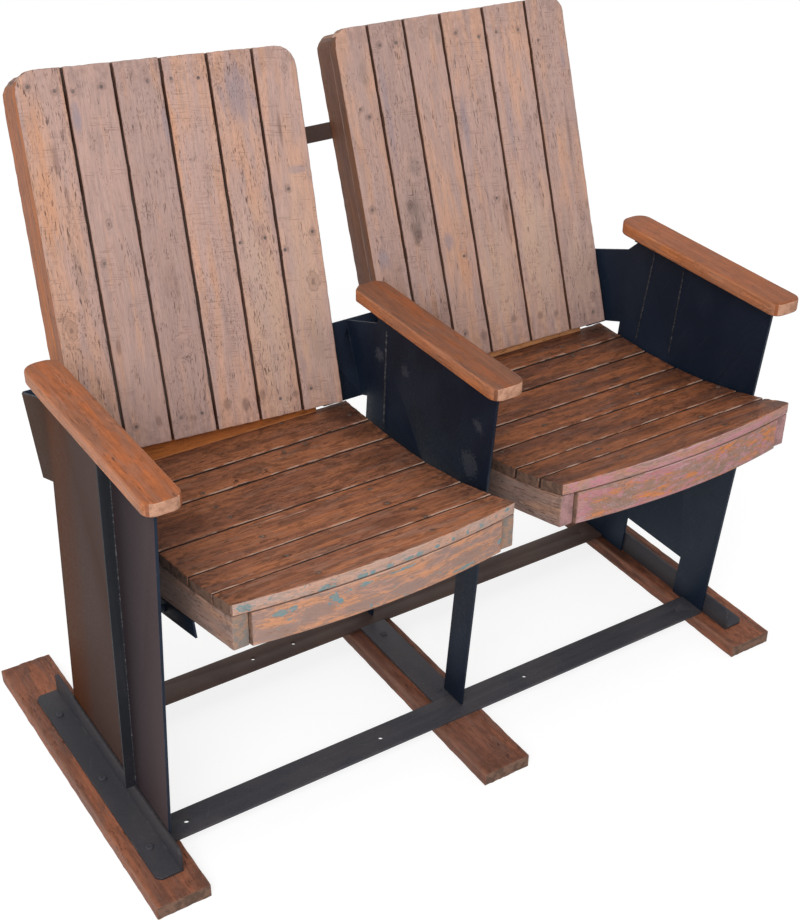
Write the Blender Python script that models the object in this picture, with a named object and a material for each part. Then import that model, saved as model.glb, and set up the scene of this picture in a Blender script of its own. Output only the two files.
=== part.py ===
"""Teak cinema bench for two.

Three teak skids carry a steel frame: foot irons, two floor rails and three side
panels. Each panel carries an armrest and ends in a wing, whose flange holds the
reclined slatted backs from behind. The two slatted seats turn on one long pivot
rod. A seat that is down has its rear edge under the bottom rail of its back, and
a seat that is tipped up leans its inner side rail on a short stop bar.

Frame: metres, +X to the right and -Y to the viewer as seen from the front, +Z up,
the ground at Z = 0, and the origin under the middle of the bench.
"""

import math

import bmesh
import bpy
from mathutils import Vector

# Fits between pieces
GAP = 0.0003                   # seated faces that touch
SLAT_GAP = 0.0035              # open joint between neighbouring slats
WELD_BITE = 0.001              # how deep welded plates reach into each other
ROD_FIT = 0.0003               # play around a rod in its hole

# Skids and foot irons
SKID_WIDTH = 0.078
SKID_HEIGHT = 0.022
SKID_LENGTH = 0.560
CENTRE_SKID_FORWARD = 0.026
IRON_LEG = 0.038
IRON_WALL = 0.004
IRON_FRONT = -0.240
IRON_REAR = 0.188
IRON_CHAMFER = 0.007
IRON_INSET = 0.0190            # skid's middle line to the iron's inner face

# Floor rails, flat bars across the skids
RAIL_THICK = 0.005
FRONT_RAIL_Y = -0.187
FRONT_RAIL_WIDTH = 0.047
REAR_RAIL_Y = 0.0710
REAR_RAIL_WIDTH = 0.047
RAIL_HOLE = 0.008
FRONT_RAIL_HOLES = (-0.440, -0.127, 0.134, 0.445)
REAR_RAIL_HOLES = (-0.200, -0.128, 0.200, 0.443)
CENTRE_FLAT_WIDTH = 0.044
CENTRE_FLAT_INSET = 0.0104     # flat's middle to the left of the centre panel

# Side panels
PLATE = 0.004
BAY_PLAY = {"left": 0.0821, "right": 0.0533}      # room beside a seat, between its panels
PANEL_FRONT = {"left": -0.250, "centre": -0.222, "right": -0.239}
PANEL_DEPTH = {"left": 0.322, "centre": 0.306, "right": 0.303}
PANEL_LEAN = 0.094             # forward lean for each unit of height
FRONT_LEG = {"centre": 0.046, "right": 0.068}
REAR_LEG = {"centre": 0.050, "right": 0.098}
CENTRE_WEB_BOTTOM = 0.258
RIGHT_WEB_BOTTOM = 0.097
RIB_Y = {"left": -0.128, "right": -0.165}         # ribs' places at the panels' tops
RIB_LEAN = 0.057
RIB_STAND = 0.015
RIB_WALL = 0.004
ARM_PLATE_WIDTH = 0.034
ARM_PLATE_MARGIN = 0.032

# Armrests
ARM_TOP = 0.625
ARM_THICK = 0.020
ARM_WIDTH = 0.050
ARM_FRONT = {"left": -0.267, "centre": -0.260, "right": -0.272}
ARM_LENGTH = {"left": 0.374, "centre": 0.346, "right": 0.345}
ARM_FRONT_CORNER = 0.015
ARM_REAR_CORNER = 0.020
CENTRE_ARM_CUT = 0.011         # straight cuts at its rear corners
CENTRE_ARM_INSET = 0.0104      # armrest's middle to the left of the centre panel
ARM_INSET = 0.0062             # end armrests sit this far inboard of their panels

# Backs, measured in their own plane: across, up the slope and into the depth
BACK_FOOT_Y = 0.1035
BACK_FOOT_Z = 0.442
BACK_RECLINE = math.radians(20.7)
BACK_WIDTH = 0.404
BACK_HEIGHT = 0.510
BACK_SHARES = {                # how wide the slats are beside each other, left to right
    "left": (1.0, 1.0, 1.0, 1.0, 1.0, 1.0),
    "right": (0.85, 0.89, 0.93, 1.12, 1.15, 1.06),
}
BACK_SLAT_THICK = 0.018
BACK_CORNER = {"left": 0.030, "right": 0.024}
STILE_WIDTH = 0.050
STILE_THICK = 0.040
STILE_START = 0.117
STILE_DROP = 0.004             # stile ends below the slats' tops
TOP_RAIL_HEIGHT = 0.060
TOP_RAIL_DROP = 0.030
BOTTOM_RAIL_HEIGHT = 0.060
BOTTOM_RAIL_LENGTH = 0.330
BACK_SHIFT = {"left": 0.00315, "right": 0.01695}  # off the middle of each bay
BACK_LIFT = {"left": 0.004, "right": -0.004}
BACK_LEAN = {"left": math.radians(3.7), "right": math.radians(0.9)}
WING_TOP = {"left": 0.126, "centre": 0.104, "right": 0.108}
WING_BOTTOM = {"left": 0.006, "centre": -0.012, "right": -0.012}
WING_WALL = 0.004
WING_LAP = 0.024               # flange reach behind the slats' edge
WING_SHOULDER = 0.040          # where the wing leaves the panel's level top
WING_CREST = 0.070             # how far ahead of the backs the wing's top starts
TIE_BAR_RISE = 0.372
TIE_BAR_HEIGHT = 0.024
TIE_BAR_THICK = 0.005

# Seats
SEAT_WIDTH = 0.407
SEAT_SHIFT = {"left": 0.019, "right": 0.0235}     # off the middle of each bay
SEAT_FRONT = -0.299
SEAT_REAR_TOP = 0.420
SEAT_DISH_START = 0.020        # level behind this line, curving up in front of it
SEAT_DISH = 0.567
SEAT_BOW = 0.026
SEAT_SLAT_THICK = 0.018
SEAT_SLATS = {
    "left": (0.050, 0.068, 0.087, 0.093, 0.057, 0.069),
    "right": (0.048, 0.053, 0.070, 0.065, 0.069, 0.060, 0.059),
}
SIDE_RAIL_THICK = 0.022
SEAT_FRONT_HEIGHT = 0.069      # slat and apron together at a front corner
SEAT_UNDER_SLOPE = 0.267
SEAT_UNDER_LEVEL = -0.080      # underside is level behind this line
APRON_THICK = 0.022
BOW_STEPS = 12

# Tip-up hinge
PIVOT_Y = -0.095
PIVOT_DROP = 0.014             # rod's middle below the side rails
PIVOT_DIAMETER = 0.010
ROD_SIDES = 24
HINGE_LEG = 0.025
HINGE_WALL = 0.003
HINGE_FRONT = 0.096            # iron's reach ahead of the rod, along its slope
HINGE_REAR = 0.026
SEAT_TIP = math.radians(75)
STOP_DIAMETER = 0.012
STOP_REACH = 0.066             # stop bar's place along a tipped side rail

# Edge breaks
WOOD_EDGE = 0.0012
ARM_EDGE = 0.0020
EDGE_ANGLE = math.radians(40)  # edges that turn more than this are broken or shaded sharp
ARC_STEPS = 5

COLOURS = {
    "teak_back": ((0.42, 0.25, 0.17), 0.62, 0.0),
    "teak_seat": ((0.20, 0.09, 0.055), 0.55, 0.0),
    "teak_arm": ((0.38, 0.16, 0.075), 0.45, 0.0),
    "teak_skid": ((0.17, 0.07, 0.04), 0.60, 0.0),
    "apron_turquoise": ((0.50, 0.27, 0.17), 0.60, 0.0),
    "apron_pink": ((0.43, 0.22, 0.22), 0.60, 0.0),
    "black_steel": ((0.035, 0.035, 0.045), 0.50, 0.6),
}

# Sizes that follow from the ones above
END_PANEL_X = SEAT_WIDTH + PLATE + (BAY_PLAY["left"] + BAY_PLAY["right"]) / 2
CENTRE_PANEL_X = PLATE + BAY_PLAY["left"] + SEAT_WIDTH - END_PANEL_X
PANEL_X = {"left": -END_PANEL_X, "centre": CENTRE_PANEL_X, "right": END_PANEL_X}
SKID_PITCH = END_PANEL_X + PLATE / 2 + GAP + IRON_INSET
CENTRE_FLAT_X = CENTRE_PANEL_X - CENTRE_FLAT_INSET
ARM_X = {
    "left": -END_PANEL_X + ARM_INSET,
    "centre": CENTRE_PANEL_X - CENTRE_ARM_INSET,
    "right": END_PANEL_X - ARM_INSET,
}
BACK_X = {
    "left": (PANEL_X["left"] + PANEL_X["centre"]) / 2 + BACK_SHIFT["left"],
    "right": (PANEL_X["centre"] + PANEL_X["right"]) / 2 + BACK_SHIFT["right"],
}
ARM_UNDERSIDE = ARM_TOP - ARM_THICK
PANEL_TOP = ARM_UNDERSIDE - GAP - PLATE
FLOOR_RAIL_Z = SKID_HEIGHT + GAP
BACK_FRAME_W = BACK_SLAT_THICK + GAP
HINGE_ANGLE = math.atan(SEAT_UNDER_SLOPE)


def clear_scene():
    """Removes everything that a new file starts with."""
    for item in list(bpy.data.objects):
        bpy.data.objects.remove(item)


def make_materials():
    """Makes one plain material for each kind of wood and for the steel."""
    made = {}
    for name, (colour, roughness, metallic) in COLOURS.items():
        material = bpy.data.materials.new(name)
        material.use_nodes = True
        shader = material.node_tree.nodes["Principled BSDF"]
        shader.inputs["Base Color"].default_value = (*colour, 1.0)
        shader.inputs["Roughness"].default_value = roughness
        shader.inputs["Metallic"].default_value = metallic
        material.diffuse_color = (*colour, 1.0)
        made[name] = material
    return made


def make_empty(name, place, parent=None):
    """Makes an empty at a place in its parent's frame."""
    empty = bpy.data.objects.new(name, None)
    empty.location = place
    empty.parent = parent
    bpy.context.scene.collection.objects.link(empty)
    return empty


def add_object(name, mesh, material, parent):
    """Links a mesh as a named piece."""
    piece = bpy.data.objects.new(name, mesh)
    piece.parent = parent
    if material is not None:
        mesh.materials.append(material)
    bpy.context.scene.collection.objects.link(piece)
    return piece


def prism_mesh(name, bottom, top):
    """Closes a solid between two outlines with the same number of points."""
    work = bmesh.new()
    low = [work.verts.new(point) for point in bottom]
    high = [work.verts.new(point) for point in top]
    work.faces.new(list(reversed(low)))
    work.faces.new(high)
    count = len(low)
    for index in range(count):
        after = (index + 1) % count
        work.faces.new((low[index], low[after], high[after], high[index]))
    bmesh.ops.recalc_face_normals(work, faces=work.faces)
    mesh = bpy.data.meshes.new(name)
    work.to_mesh(mesh)
    work.free()
    return mesh


def side_prism(name, outline, low_x, high_x, material, parent):
    """Extrudes an outline of (y, z) points along X."""
    bottom = [(low_x, y, z) for y, z in outline]
    top = [(high_x, y, z) for y, z in outline]
    return add_object(name, prism_mesh(name, bottom, top), material, parent)


def front_prism(name, outline, low_y, high_y, material, parent):
    """Extrudes an outline of (x, z) points along Y."""
    bottom = [(x, low_y, z) for x, z in outline]
    top = [(x, high_y, z) for x, z in outline]
    return add_object(name, prism_mesh(name, bottom, top), material, parent)


def plan_prism(name, outline, low, high, material, parent):
    """Extrudes an outline of (x, y) points between two heights, each a function of y."""
    bottom = [(x, y, low(y)) for x, y in outline]
    top = [(x, y, high(y)) for x, y in outline]
    return add_object(name, prism_mesh(name, bottom, top), material, parent)


def box(name, low, high, material, parent):
    """Makes a box between two corners."""
    outline = [(low[0], low[1]), (high[0], low[1]), (high[0], high[1]), (low[0], high[1])]
    return plan_prism(name, outline, lambda y: low[2], lambda y: high[2], material, parent)


def round_bar(name, y, z, low_x, high_x, diameter, material, parent):
    """Makes a round bar along X."""
    turns = [2 * math.pi * step / ROD_SIDES for step in range(ROD_SIDES)]
    outline = [(y + diameter / 2 * math.cos(a), z + diameter / 2 * math.sin(a)) for a in turns]
    bar = side_prism(name, outline, low_x, high_x, material, parent)
    bar.data.shade_smooth()
    bar.data.set_sharp_from_angle(angle=EDGE_ANGLE)
    return bar


def upright(name, x, y, low_z, high_z, diameter, parent):
    """Makes a round cutter along Z."""
    turns = [2 * math.pi * step / ROD_SIDES for step in range(ROD_SIDES)]
    outline = [(x + diameter / 2 * math.cos(a), y + diameter / 2 * math.sin(a)) for a in turns]
    return plan_prism(name, outline, lambda y: low_z, lambda y: high_z, None, parent)


def combine(piece, tool, operation):
    """Adds a live Boolean with a hidden tool object."""
    tool.hide_render = True
    tool.display_type = "WIRE"
    modifier = piece.modifiers.new(tool.name, "BOOLEAN")
    modifier.operation = operation
    modifier.solver = "EXACT"
    modifier.object = tool


def ease_edges(piece, width):
    """Breaks the sharp edges of a wooden piece."""
    modifier = piece.modifiers.new("eased_edges", "BEVEL")
    modifier.width = width
    modifier.segments = 1
    modifier.limit_method = "ANGLE"
    modifier.angle_limit = EDGE_ANGLE


def rounded(points, radii):
    """Replaces each corner that has a radius by an arc."""
    result = []
    count = len(points)
    for index, point in enumerate(points):
        radius = radii[index]
        here = Vector(point)
        if radius <= 0:
            result.append(tuple(here))
            continue
        before = (Vector(points[index - 1]) - here).normalized()
        after = (Vector(points[(index + 1) % count]) - here).normalized()
        half = before.angle(after) / 2
        centre = here + (before + after).normalized() * radius / math.sin(half)
        start = here + before * radius / math.tan(half) - centre
        end = here + after * radius / math.tan(half) - centre
        sweep = math.atan2(start.cross(end), start.dot(end))
        for step in range(ARC_STEPS + 1):
            turn = math.atan2(start.y, start.x) + sweep * step / ARC_STEPS
            result.append((centre.x + radius * math.cos(turn), centre.y + radius * math.sin(turn)))
    return result


def front_edge(side, z):
    """Gives the Y of a panel's front edge at a height."""
    return PANEL_FRONT[side] - PANEL_LEAN * (z - PANEL_TOP)


def rear_edge(side, z):
    """Gives the Y of a panel's rear edge at a height."""
    return front_edge(side, z) + PANEL_DEPTH[side]


def slope_point(rise, depth):
    """Gives (y, z) of a point in the backs' plane, from its rise and depth."""
    y = BACK_FOOT_Y + rise * math.sin(BACK_RECLINE) + depth * math.cos(BACK_RECLINE)
    z = BACK_FOOT_Z + rise * math.cos(BACK_RECLINE) - depth * math.sin(BACK_RECLINE)
    return y, z


def seat_top(y):
    """Gives the height of the dished seat surface."""
    return SEAT_REAR_TOP + SEAT_DISH * max(0.0, SEAT_DISH_START - y) ** 2


def seat_under(y):
    """Gives the height of the side rails' underside."""
    front = seat_top(SEAT_FRONT) - SEAT_FRONT_HEIGHT
    return front - SEAT_UNDER_SLOPE * (min(y, SEAT_UNDER_LEVEL) - SEAT_FRONT)


PIVOT_Z = seat_under(PIVOT_Y) - PIVOT_DROP
STOP_RISE = seat_under(SEAT_UNDER_LEVEL) - PIVOT_Z - STOP_DIAMETER / 2 - GAP
STOP_Y = PIVOT_Y + STOP_REACH * math.cos(SEAT_TIP) + STOP_RISE * math.sin(SEAT_TIP)
STOP_Z = PIVOT_Z - STOP_REACH * math.sin(SEAT_TIP) + STOP_RISE * math.cos(SEAT_TIP)


def make_skids(materials, root):
    """Makes the three teak skids that the bench stands on."""
    for side, column in (("left", -1), ("centre", 0), ("right", 1)):
        forward = CENTRE_SKID_FORWARD if side == "centre" else 0.0
        middle = column * SKID_PITCH
        low = (middle - SKID_WIDTH / 2, -SKID_LENGTH / 2 - forward, 0.0)
        high = (middle + SKID_WIDTH / 2, SKID_LENGTH / 2 - forward, SKID_HEIGHT)
        skid = box(side + "_skid", low, high, materials["teak_skid"], root)
        ease_edges(skid, WOOD_EDGE)


def make_foot_irons(materials, root):
    """Makes the angle irons that fasten the end panels to their skids."""
    for side, sign in (("left", -1), ("right", 1)):
        inner = sign * (SKID_PITCH - IRON_INSET)
        leg_x = sorted((inner, inner + sign * IRON_WALL))
        low, high = FLOOR_RAIL_Z, FLOOR_RAIL_Z + IRON_LEG
        leg = [(IRON_FRONT, low), (IRON_REAR, low), (IRON_REAR, high - IRON_CHAMFER),
               (IRON_REAR - IRON_CHAMFER, high), (IRON_FRONT + IRON_CHAMFER, high),
               (IRON_FRONT, high - IRON_CHAMFER)]
        iron = side_prism(side + "_foot_iron", leg, leg_x[0], leg_x[1], materials["black_steel"], root)
        outer = inner + sign * IRON_LEG
        corner = outer - sign * IRON_CHAMFER
        foot = [(inner, IRON_FRONT), (corner, IRON_FRONT), (outer, IRON_FRONT + IRON_CHAMFER),
                (outer, IRON_REAR - IRON_CHAMFER), (corner, IRON_REAR), (inner, IRON_REAR)]
        flat = plan_prism(side + "_iron_foot_tool", foot, lambda y: low,
                          lambda y: low + IRON_WALL, None, root)
        combine(iron, flat, "UNION")


def make_floor_rails(materials, root):
    """Makes the front and rear floor rails and the flat between them."""
    reach = END_PANEL_X - PLATE / 2 - GAP
    high = FLOOR_RAIL_Z + RAIL_THICK
    rails = (
        ("front_floor_rail", FRONT_RAIL_Y, FRONT_RAIL_WIDTH, FRONT_RAIL_HOLES),
        ("rear_floor_rail", REAR_RAIL_Y, REAR_RAIL_WIDTH, REAR_RAIL_HOLES),
    )
    for name, start, width, holes in rails:
        low_corner = (-reach, start, FLOOR_RAIL_Z)
        high_corner = (reach, start + width, high)
        rail = box(name, low_corner, high_corner, materials["black_steel"], root)
        for number, place in enumerate(holes):
            tool = upright(name + "_hole_" + str(number), place, start + width / 2,
                           FLOOR_RAIL_Z - RAIL_THICK, high + RAIL_THICK, RAIL_HOLE, root)
            combine(rail, tool, "DIFFERENCE")
    low_corner = (CENTRE_FLAT_X - CENTRE_FLAT_WIDTH / 2, FRONT_RAIL_Y + FRONT_RAIL_WIDTH + GAP,
                  FLOOR_RAIL_Z)
    high_corner = (CENTRE_FLAT_X + CENTRE_FLAT_WIDTH / 2, REAR_RAIL_Y - GAP, high)
    box("centre_foot_flat", low_corner, high_corner, materials["black_steel"], root)


def panel_outline(side, foot_z, web_bottom):
    """Gives the (y, z) outline of a side panel with its wing."""
    tilt = math.cos(BACK_RECLINE) - PANEL_LEAN * math.sin(BACK_RECLINE)
    wing_depth = BACK_FRAME_W + WING_WALL / 2
    wing_low = WING_BOTTOM[side] + WELD_BITE
    wing_high = WING_TOP[side] - WELD_BITE
    low_y, low_z = slope_point(wing_low, 0.0)
    join_depth = (rear_edge(side, low_z) - low_y) / tilt
    outline = [
        (front_edge(side, PANEL_TOP), PANEL_TOP),
        (WING_SHOULDER, PANEL_TOP),
        slope_point(wing_high, -WING_CREST),
        slope_point(wing_high, wing_depth),
        slope_point(wing_low, wing_depth),
        slope_point(wing_low, join_depth),
        (rear_edge(side, foot_z), foot_z),
    ]
    if web_bottom > foot_z:
        leg = FRONT_LEG[side]
        outline.append((rear_edge(side, foot_z) - REAR_LEG[side], foot_z))
        outline.append((rear_edge(side, web_bottom) - REAR_LEG[side], web_bottom))
        outline.append((front_edge(side, web_bottom) + leg, web_bottom))
        outline.append((front_edge(side, foot_z) + leg, foot_z))
    outline.append((front_edge(side, foot_z), foot_z))
    return outline


def flange_reach(side):
    """Gives the X span of a panel's back flange, from lap to lap."""
    ends = []
    for back in ("left", "right"):
        swing = WING_TOP[side] * math.tan(BACK_LEAN[back])
        if side in (back, "centre"):
            outward = -1 if (back == "left") == (side == back) else 1
            edge = BACK_X[back] + outward * BACK_WIDTH / 2
            drift = swing if outward < 0 else 0.0
            ends.append(edge + drift - outward * WING_LAP)
    if side != "centre":
        ends.append(PANEL_X[side])
    return min(ends), max(ends)


def make_panels(materials, root, recline):
    """Makes the three welded side panels."""
    steel = materials["black_steel"]
    rail_top = FLOOR_RAIL_Z + RAIL_THICK + GAP
    kinds = (
        ("left", FLOOR_RAIL_Z, FLOOR_RAIL_Z),
        ("centre", rail_top, CENTRE_WEB_BOTTOM),
        ("right", FLOOR_RAIL_Z, RIGHT_WEB_BOTTOM),
    )
    for side, foot_z, web_bottom in kinds:
        x = PANEL_X[side]
        name = side + "_side_panel"
        outline = panel_outline(side, foot_z, web_bottom)
        panel = side_prism(name, outline, x - PLATE / 2, x + PLATE / 2, steel, root)
        flange_low, flange_high = flange_reach(side)
        flange = box(name + "_back_flange", (flange_low, BACK_FRAME_W, WING_BOTTOM[side]),
                     (flange_high, BACK_FRAME_W + WING_WALL, WING_TOP[side]), None, recline)
        combine(panel, flange, "UNION")
        plate_low = (ARM_X[side] - ARM_PLATE_WIDTH / 2, ARM_FRONT[side] + ARM_PLATE_MARGIN,
                     PANEL_TOP - WELD_BITE)
        plate_high = (ARM_X[side] + ARM_PLATE_WIDTH / 2, WING_SHOULDER - WELD_BITE,
                      ARM_UNDERSIDE - GAP)
        arm_plate = box(name + "_arm_plate", plate_low, plate_high, None, root)
        combine(panel, arm_plate, "UNION")
        if side != "centre":
            sign = math.copysign(1.0, x)
            combine(panel, make_rib(name, x, sign, RIB_Y[side], root), "UNION")
        pivot_hole = round_bar(name + "_pivot_hole", PIVOT_Y, PIVOT_Z, x - RIB_STAND,
                               x + RIB_STAND, PIVOT_DIAMETER + 2 * ROD_FIT, None, root)
        combine(panel, pivot_hole, "DIFFERENCE")
        if side == "centre":
            stop_hole = round_bar(name + "_stop_hole", STOP_Y, STOP_Z, x - RIB_STAND,
                                  x + RIB_STAND, STOP_DIAMETER + 2 * ROD_FIT, None, root)
            combine(panel, stop_hole, "DIFFERENCE")


def make_rib(name, x, sign, start, root):
    """Makes the outer rib of an end panel, standing over its foot iron."""
    low = FLOOR_RAIL_Z + IRON_LEG + GAP
    high = PANEL_TOP + WELD_BITE
    lean = RIB_LEAN * (high - low)
    outline = [(start + lean, low), (start + lean + RIB_WALL, low), (start + RIB_WALL, high),
               (start, high)]
    span = sorted((x + sign * (PLATE / 2 - WELD_BITE), x + sign * (PLATE / 2 + RIB_STAND)))
    return side_prism(name + "_rib", outline, span[0], span[1], None, root)


def make_armrests(materials, root):
    """Makes the three armrests with rounded ends."""
    for side, x in ARM_X.items():
        half = ARM_WIDTH / 2
        front = ARM_FRONT[side]
        rear = front + ARM_LENGTH[side]
        corners = [(x - half, front), (x + half, front)]
        radii = [ARM_FRONT_CORNER] * 2
        if side == "centre":
            cut = CENTRE_ARM_CUT
            corners += [(x + half, rear - cut), (x + half - cut, rear), (x - half + cut, rear),
                        (x - half, rear - cut)]
            radii += [0.0] * 4
        else:
            corners += [(x + half, rear), (x - half, rear)]
            radii += [ARM_REAR_CORNER] * 2
        outline = rounded(corners, radii)
        arm = plan_prism(side + "_armrest", outline, lambda y: ARM_UNDERSIDE, lambda y: ARM_TOP,
                         materials["teak_arm"], root)
        ease_edges(arm, ARM_EDGE)


def make_back(side, materials, recline):
    """Makes one slatted back: six slats on two stiles and two rails."""
    teak = materials["teak_back"]
    base = make_empty(side + "_back_foot", (BACK_X[side], 0.0, BACK_LIFT[side]), recline)
    frame = make_empty(side + "_back_frame", (0.0, 0.0, 0.0), base)
    frame.rotation_euler = (0.0, BACK_LEAN[side], 0.0)
    half = BACK_WIDTH / 2
    shares = BACK_SHARES[side]
    room = BACK_WIDTH - (len(shares) - 1) * SLAT_GAP
    for number, share in enumerate(shares):
        start = -half + room * sum(shares[:number]) / sum(shares) + number * SLAT_GAP
        width = room * share / sum(shares)
        right_corner = BACK_CORNER[side] if number == len(shares) - 1 else 0.0
        left_corner = BACK_CORNER[side] if number == 0 else 0.0
        radii = [0.0, 0.0, right_corner, left_corner]
        corners = [(start, 0.0), (start + width, 0.0), (start + width, BACK_HEIGHT),
                   (start, BACK_HEIGHT)]
        slat = front_prism(side + "_back_slat_" + str(number + 1), rounded(corners, radii), 0.0,
                           BACK_SLAT_THICK, teak, frame)
        ease_edges(slat, WOOD_EDGE)
    rear = BACK_FRAME_W + STILE_THICK
    stile_top = BACK_HEIGHT - STILE_DROP
    for label, sign in (("left", -1), ("right", 1)):
        outer = sign * half
        inner = sign * (half - STILE_WIDTH)
        corners = [(inner, STILE_START), (outer, STILE_START), (outer, stile_top), (inner, stile_top)]
        outline = rounded(corners, [0.0, 0.0, BACK_CORNER[side], 0.0])
        stile = front_prism(side + "_back_stile_" + label, outline, BACK_FRAME_W, rear, teak, frame)
        ease_edges(stile, WOOD_EDGE)
    reach = half - STILE_WIDTH - GAP
    rail_top = stile_top - TOP_RAIL_DROP
    top_rail = box(side + "_back_top_rail", (-reach, BACK_FRAME_W, rail_top - TOP_RAIL_HEIGHT),
                   (reach, rear, rail_top), teak, frame)
    ease_edges(top_rail, WOOD_EDGE)
    low = bottom_rail_rise(side)
    high = low + BOTTOM_RAIL_HEIGHT
    outline = [(BACK_FRAME_W, low), (rear, low + STILE_THICK * math.tan(BACK_RECLINE)),
               (rear, high), (BACK_FRAME_W, high)]
    bottom_rail = side_prism(side + "_back_bottom_rail", outline, -BOTTOM_RAIL_LENGTH / 2,
                             BOTTOM_RAIL_LENGTH / 2, teak, base)
    ease_edges(bottom_rail, WOOD_EDGE)


def bottom_rail_rise(side):
    """Gives the rise at which a bottom rail's level underside lies just over its seat."""
    up = SEAT_REAR_TOP + GAP - BACK_FOOT_Z
    return up / math.cos(BACK_RECLINE) + BACK_FRAME_W * math.tan(BACK_RECLINE) - BACK_LIFT[side]


def make_tie_bar(materials, recline):
    """Makes the flat bar behind both backs."""
    reach = BACK_WIDTH / 2 - STILE_WIDTH / 2
    lean = TIE_BAR_RISE * math.tan(BACK_LEAN["left"])
    low = (BACK_X["left"] - reach + lean, BACK_FRAME_W + STILE_THICK + GAP,
           TIE_BAR_RISE - TIE_BAR_HEIGHT / 2)
    high = (BACK_X["right"] + reach, BACK_FRAME_W + STILE_THICK + GAP + TIE_BAR_THICK,
            TIE_BAR_RISE + TIE_BAR_HEIGHT / 2)
    box("back_tie_bar", low, high, materials["black_steel"], recline)


def seat_middle(side):
    """Gives the X of a seat's middle line, inside its bay."""
    if side == "left":
        bay = (PANEL_X["left"] + PANEL_X["centre"]) / 2
    else:
        bay = (PANEL_X["centre"] + PANEL_X["right"]) / 2
    return bay + SEAT_SHIFT[side]


def bow(x):
    """Gives how far the seat's front stands ahead of its corners, X from its middle."""
    return SEAT_BOW * (1 - (2 * x / SEAT_WIDTH) ** 2)


def bowed_edge(half, line):
    """Gives the points of a bowed line from left to right."""
    places = [half * (2 * step / BOW_STEPS - 1) for step in range(BOW_STEPS + 1)]
    return [(x, line - bow(x)) for x in places]


def seat_rear(side):
    """Gives the Y of a seat's rear edge."""
    return SEAT_FRONT + sum(SEAT_SLATS[side]) - SLAT_GAP / 2


def make_seat(side, materials, root):
    """Makes one tip-up seat around its pivot."""
    middle = seat_middle(side)
    pivot = make_empty(side + "_seat_pivot", (middle, PIVOT_Y, PIVOT_Z), root)
    frame = make_empty(side + "_seat_frame", (0.0, -PIVOT_Y, -PIVOT_Z), pivot)
    teak = materials["teak_seat"]
    half = SEAT_WIDTH / 2
    joints = [SEAT_FRONT]
    for width in SEAT_SLATS[side]:
        joints.append(joints[-1] + width)
    for number in range(len(joints) - 1):
        start, end = joints[number], joints[number + 1]
        make_seat_slat(side, number, start, end, half, teak, frame)
    make_side_rails(side, joints, half, teak, frame)
    make_apron(side, joints, half, materials, frame)
    make_hinge_irons(side, half, materials, frame)


def make_seat_slat(side, number, start, end, half, teak, frame):
    """Makes one cross slat on the chord of the dished seat."""
    slope = (seat_top(end) - seat_top(start)) / (end - start)
    low_y = start + (SLAT_GAP / 2 if number else 0.0)
    high_y = end - SLAT_GAP / 2

    def top(y):
        return seat_top(start) + slope * (y - start)

    def under(y):
        return top(y) - SEAT_SLAT_THICK

    if number == 0:
        outline = [(half, high_y), (-half, high_y)] + bowed_edge(half, low_y)
    else:
        outline = [(half, high_y), (-half, high_y), (-half, low_y), (half, low_y)]
    slat = plan_prism(side + "_seat_slat_" + str(number + 1), outline, under, top, teak, frame)
    ease_edges(slat, WOOD_EDGE)


def make_side_rails(side, joints, half, teak, frame):
    """Makes the two side rails that carry the slats."""
    tops = [(y, seat_top(y) - SEAT_SLAT_THICK - GAP) for y in joints]
    rear = seat_rear(side)
    tops[-1] = (rear, tops[-1][1])
    bottom = [(rear, seat_under(rear)), (SEAT_UNDER_LEVEL, seat_under(SEAT_UNDER_LEVEL)),
              (SEAT_FRONT, seat_under(SEAT_FRONT))]
    for label, sign in (("left", -1), ("right", 1)):
        span = sorted((sign * half, sign * (half - SIDE_RAIL_THICK)))
        rail = side_prism(side + "_seat_rail_" + label, tops + bottom, span[0], span[1], teak, frame)
        ease_edges(rail, WOOD_EDGE)


def make_apron(side, joints, half, materials, frame):
    """Makes the bowed apron between the side rails."""
    slope = (seat_top(joints[1]) - seat_top(joints[0])) / (joints[1] - joints[0])

    def top(y):
        return seat_top(SEAT_FRONT) + slope * (y - SEAT_FRONT) - SEAT_SLAT_THICK - GAP

    def under(y):
        return seat_under(SEAT_FRONT) - SEAT_UNDER_SLOPE * (y - SEAT_FRONT)

    reach = half - SIDE_RAIL_THICK - GAP
    outline = bowed_edge(reach, SEAT_FRONT)
    outline += reversed(bowed_edge(reach, SEAT_FRONT + APRON_THICK))
    finish = materials["apron_turquoise" if side == "left" else "apron_pink"]
    apron = plan_prism(side + "_seat_apron", outline, under, top, finish, frame)
    ease_edges(apron, WOOD_EDGE)


def make_hinge_irons(side, half, materials, frame):
    """Makes the angle irons under the side rails that swing on the pivot rod."""
    top = PIVOT_DROP * math.cos(HINGE_ANGLE) - GAP
    bottom = top + GAP - HINGE_LEG
    tilt = make_empty(side + "_hinge_slope", (0.0, PIVOT_Y, PIVOT_Z), frame)
    tilt.rotation_euler = (-HINGE_ANGLE, 0.0, 0.0)
    for label, sign in (("left", -1), ("right", 1)):
        outer = sign * half
        outline = [(outer, bottom), (outer, top), (outer - sign * HINGE_LEG, top),
                   (outer - sign * HINGE_LEG, top - HINGE_WALL),
                   (outer - sign * HINGE_WALL, top - HINGE_WALL), (outer - sign * HINGE_WALL, bottom)]
        iron = front_prism(side + "_hinge_iron_" + label, outline, -HINGE_FRONT, HINGE_REAR,
                           materials["black_steel"], tilt)
        name = side + "_hinge_hole_" + label
        span = sorted((outer + sign * HINGE_WALL, outer - sign * 3 * HINGE_WALL))
        hole = round_bar(name, 0.0, 0.0, span[0], span[1], PIVOT_DIAMETER + 2 * ROD_FIT, None,
                         tilt)
        combine(iron, hole, "DIFFERENCE")


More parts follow.
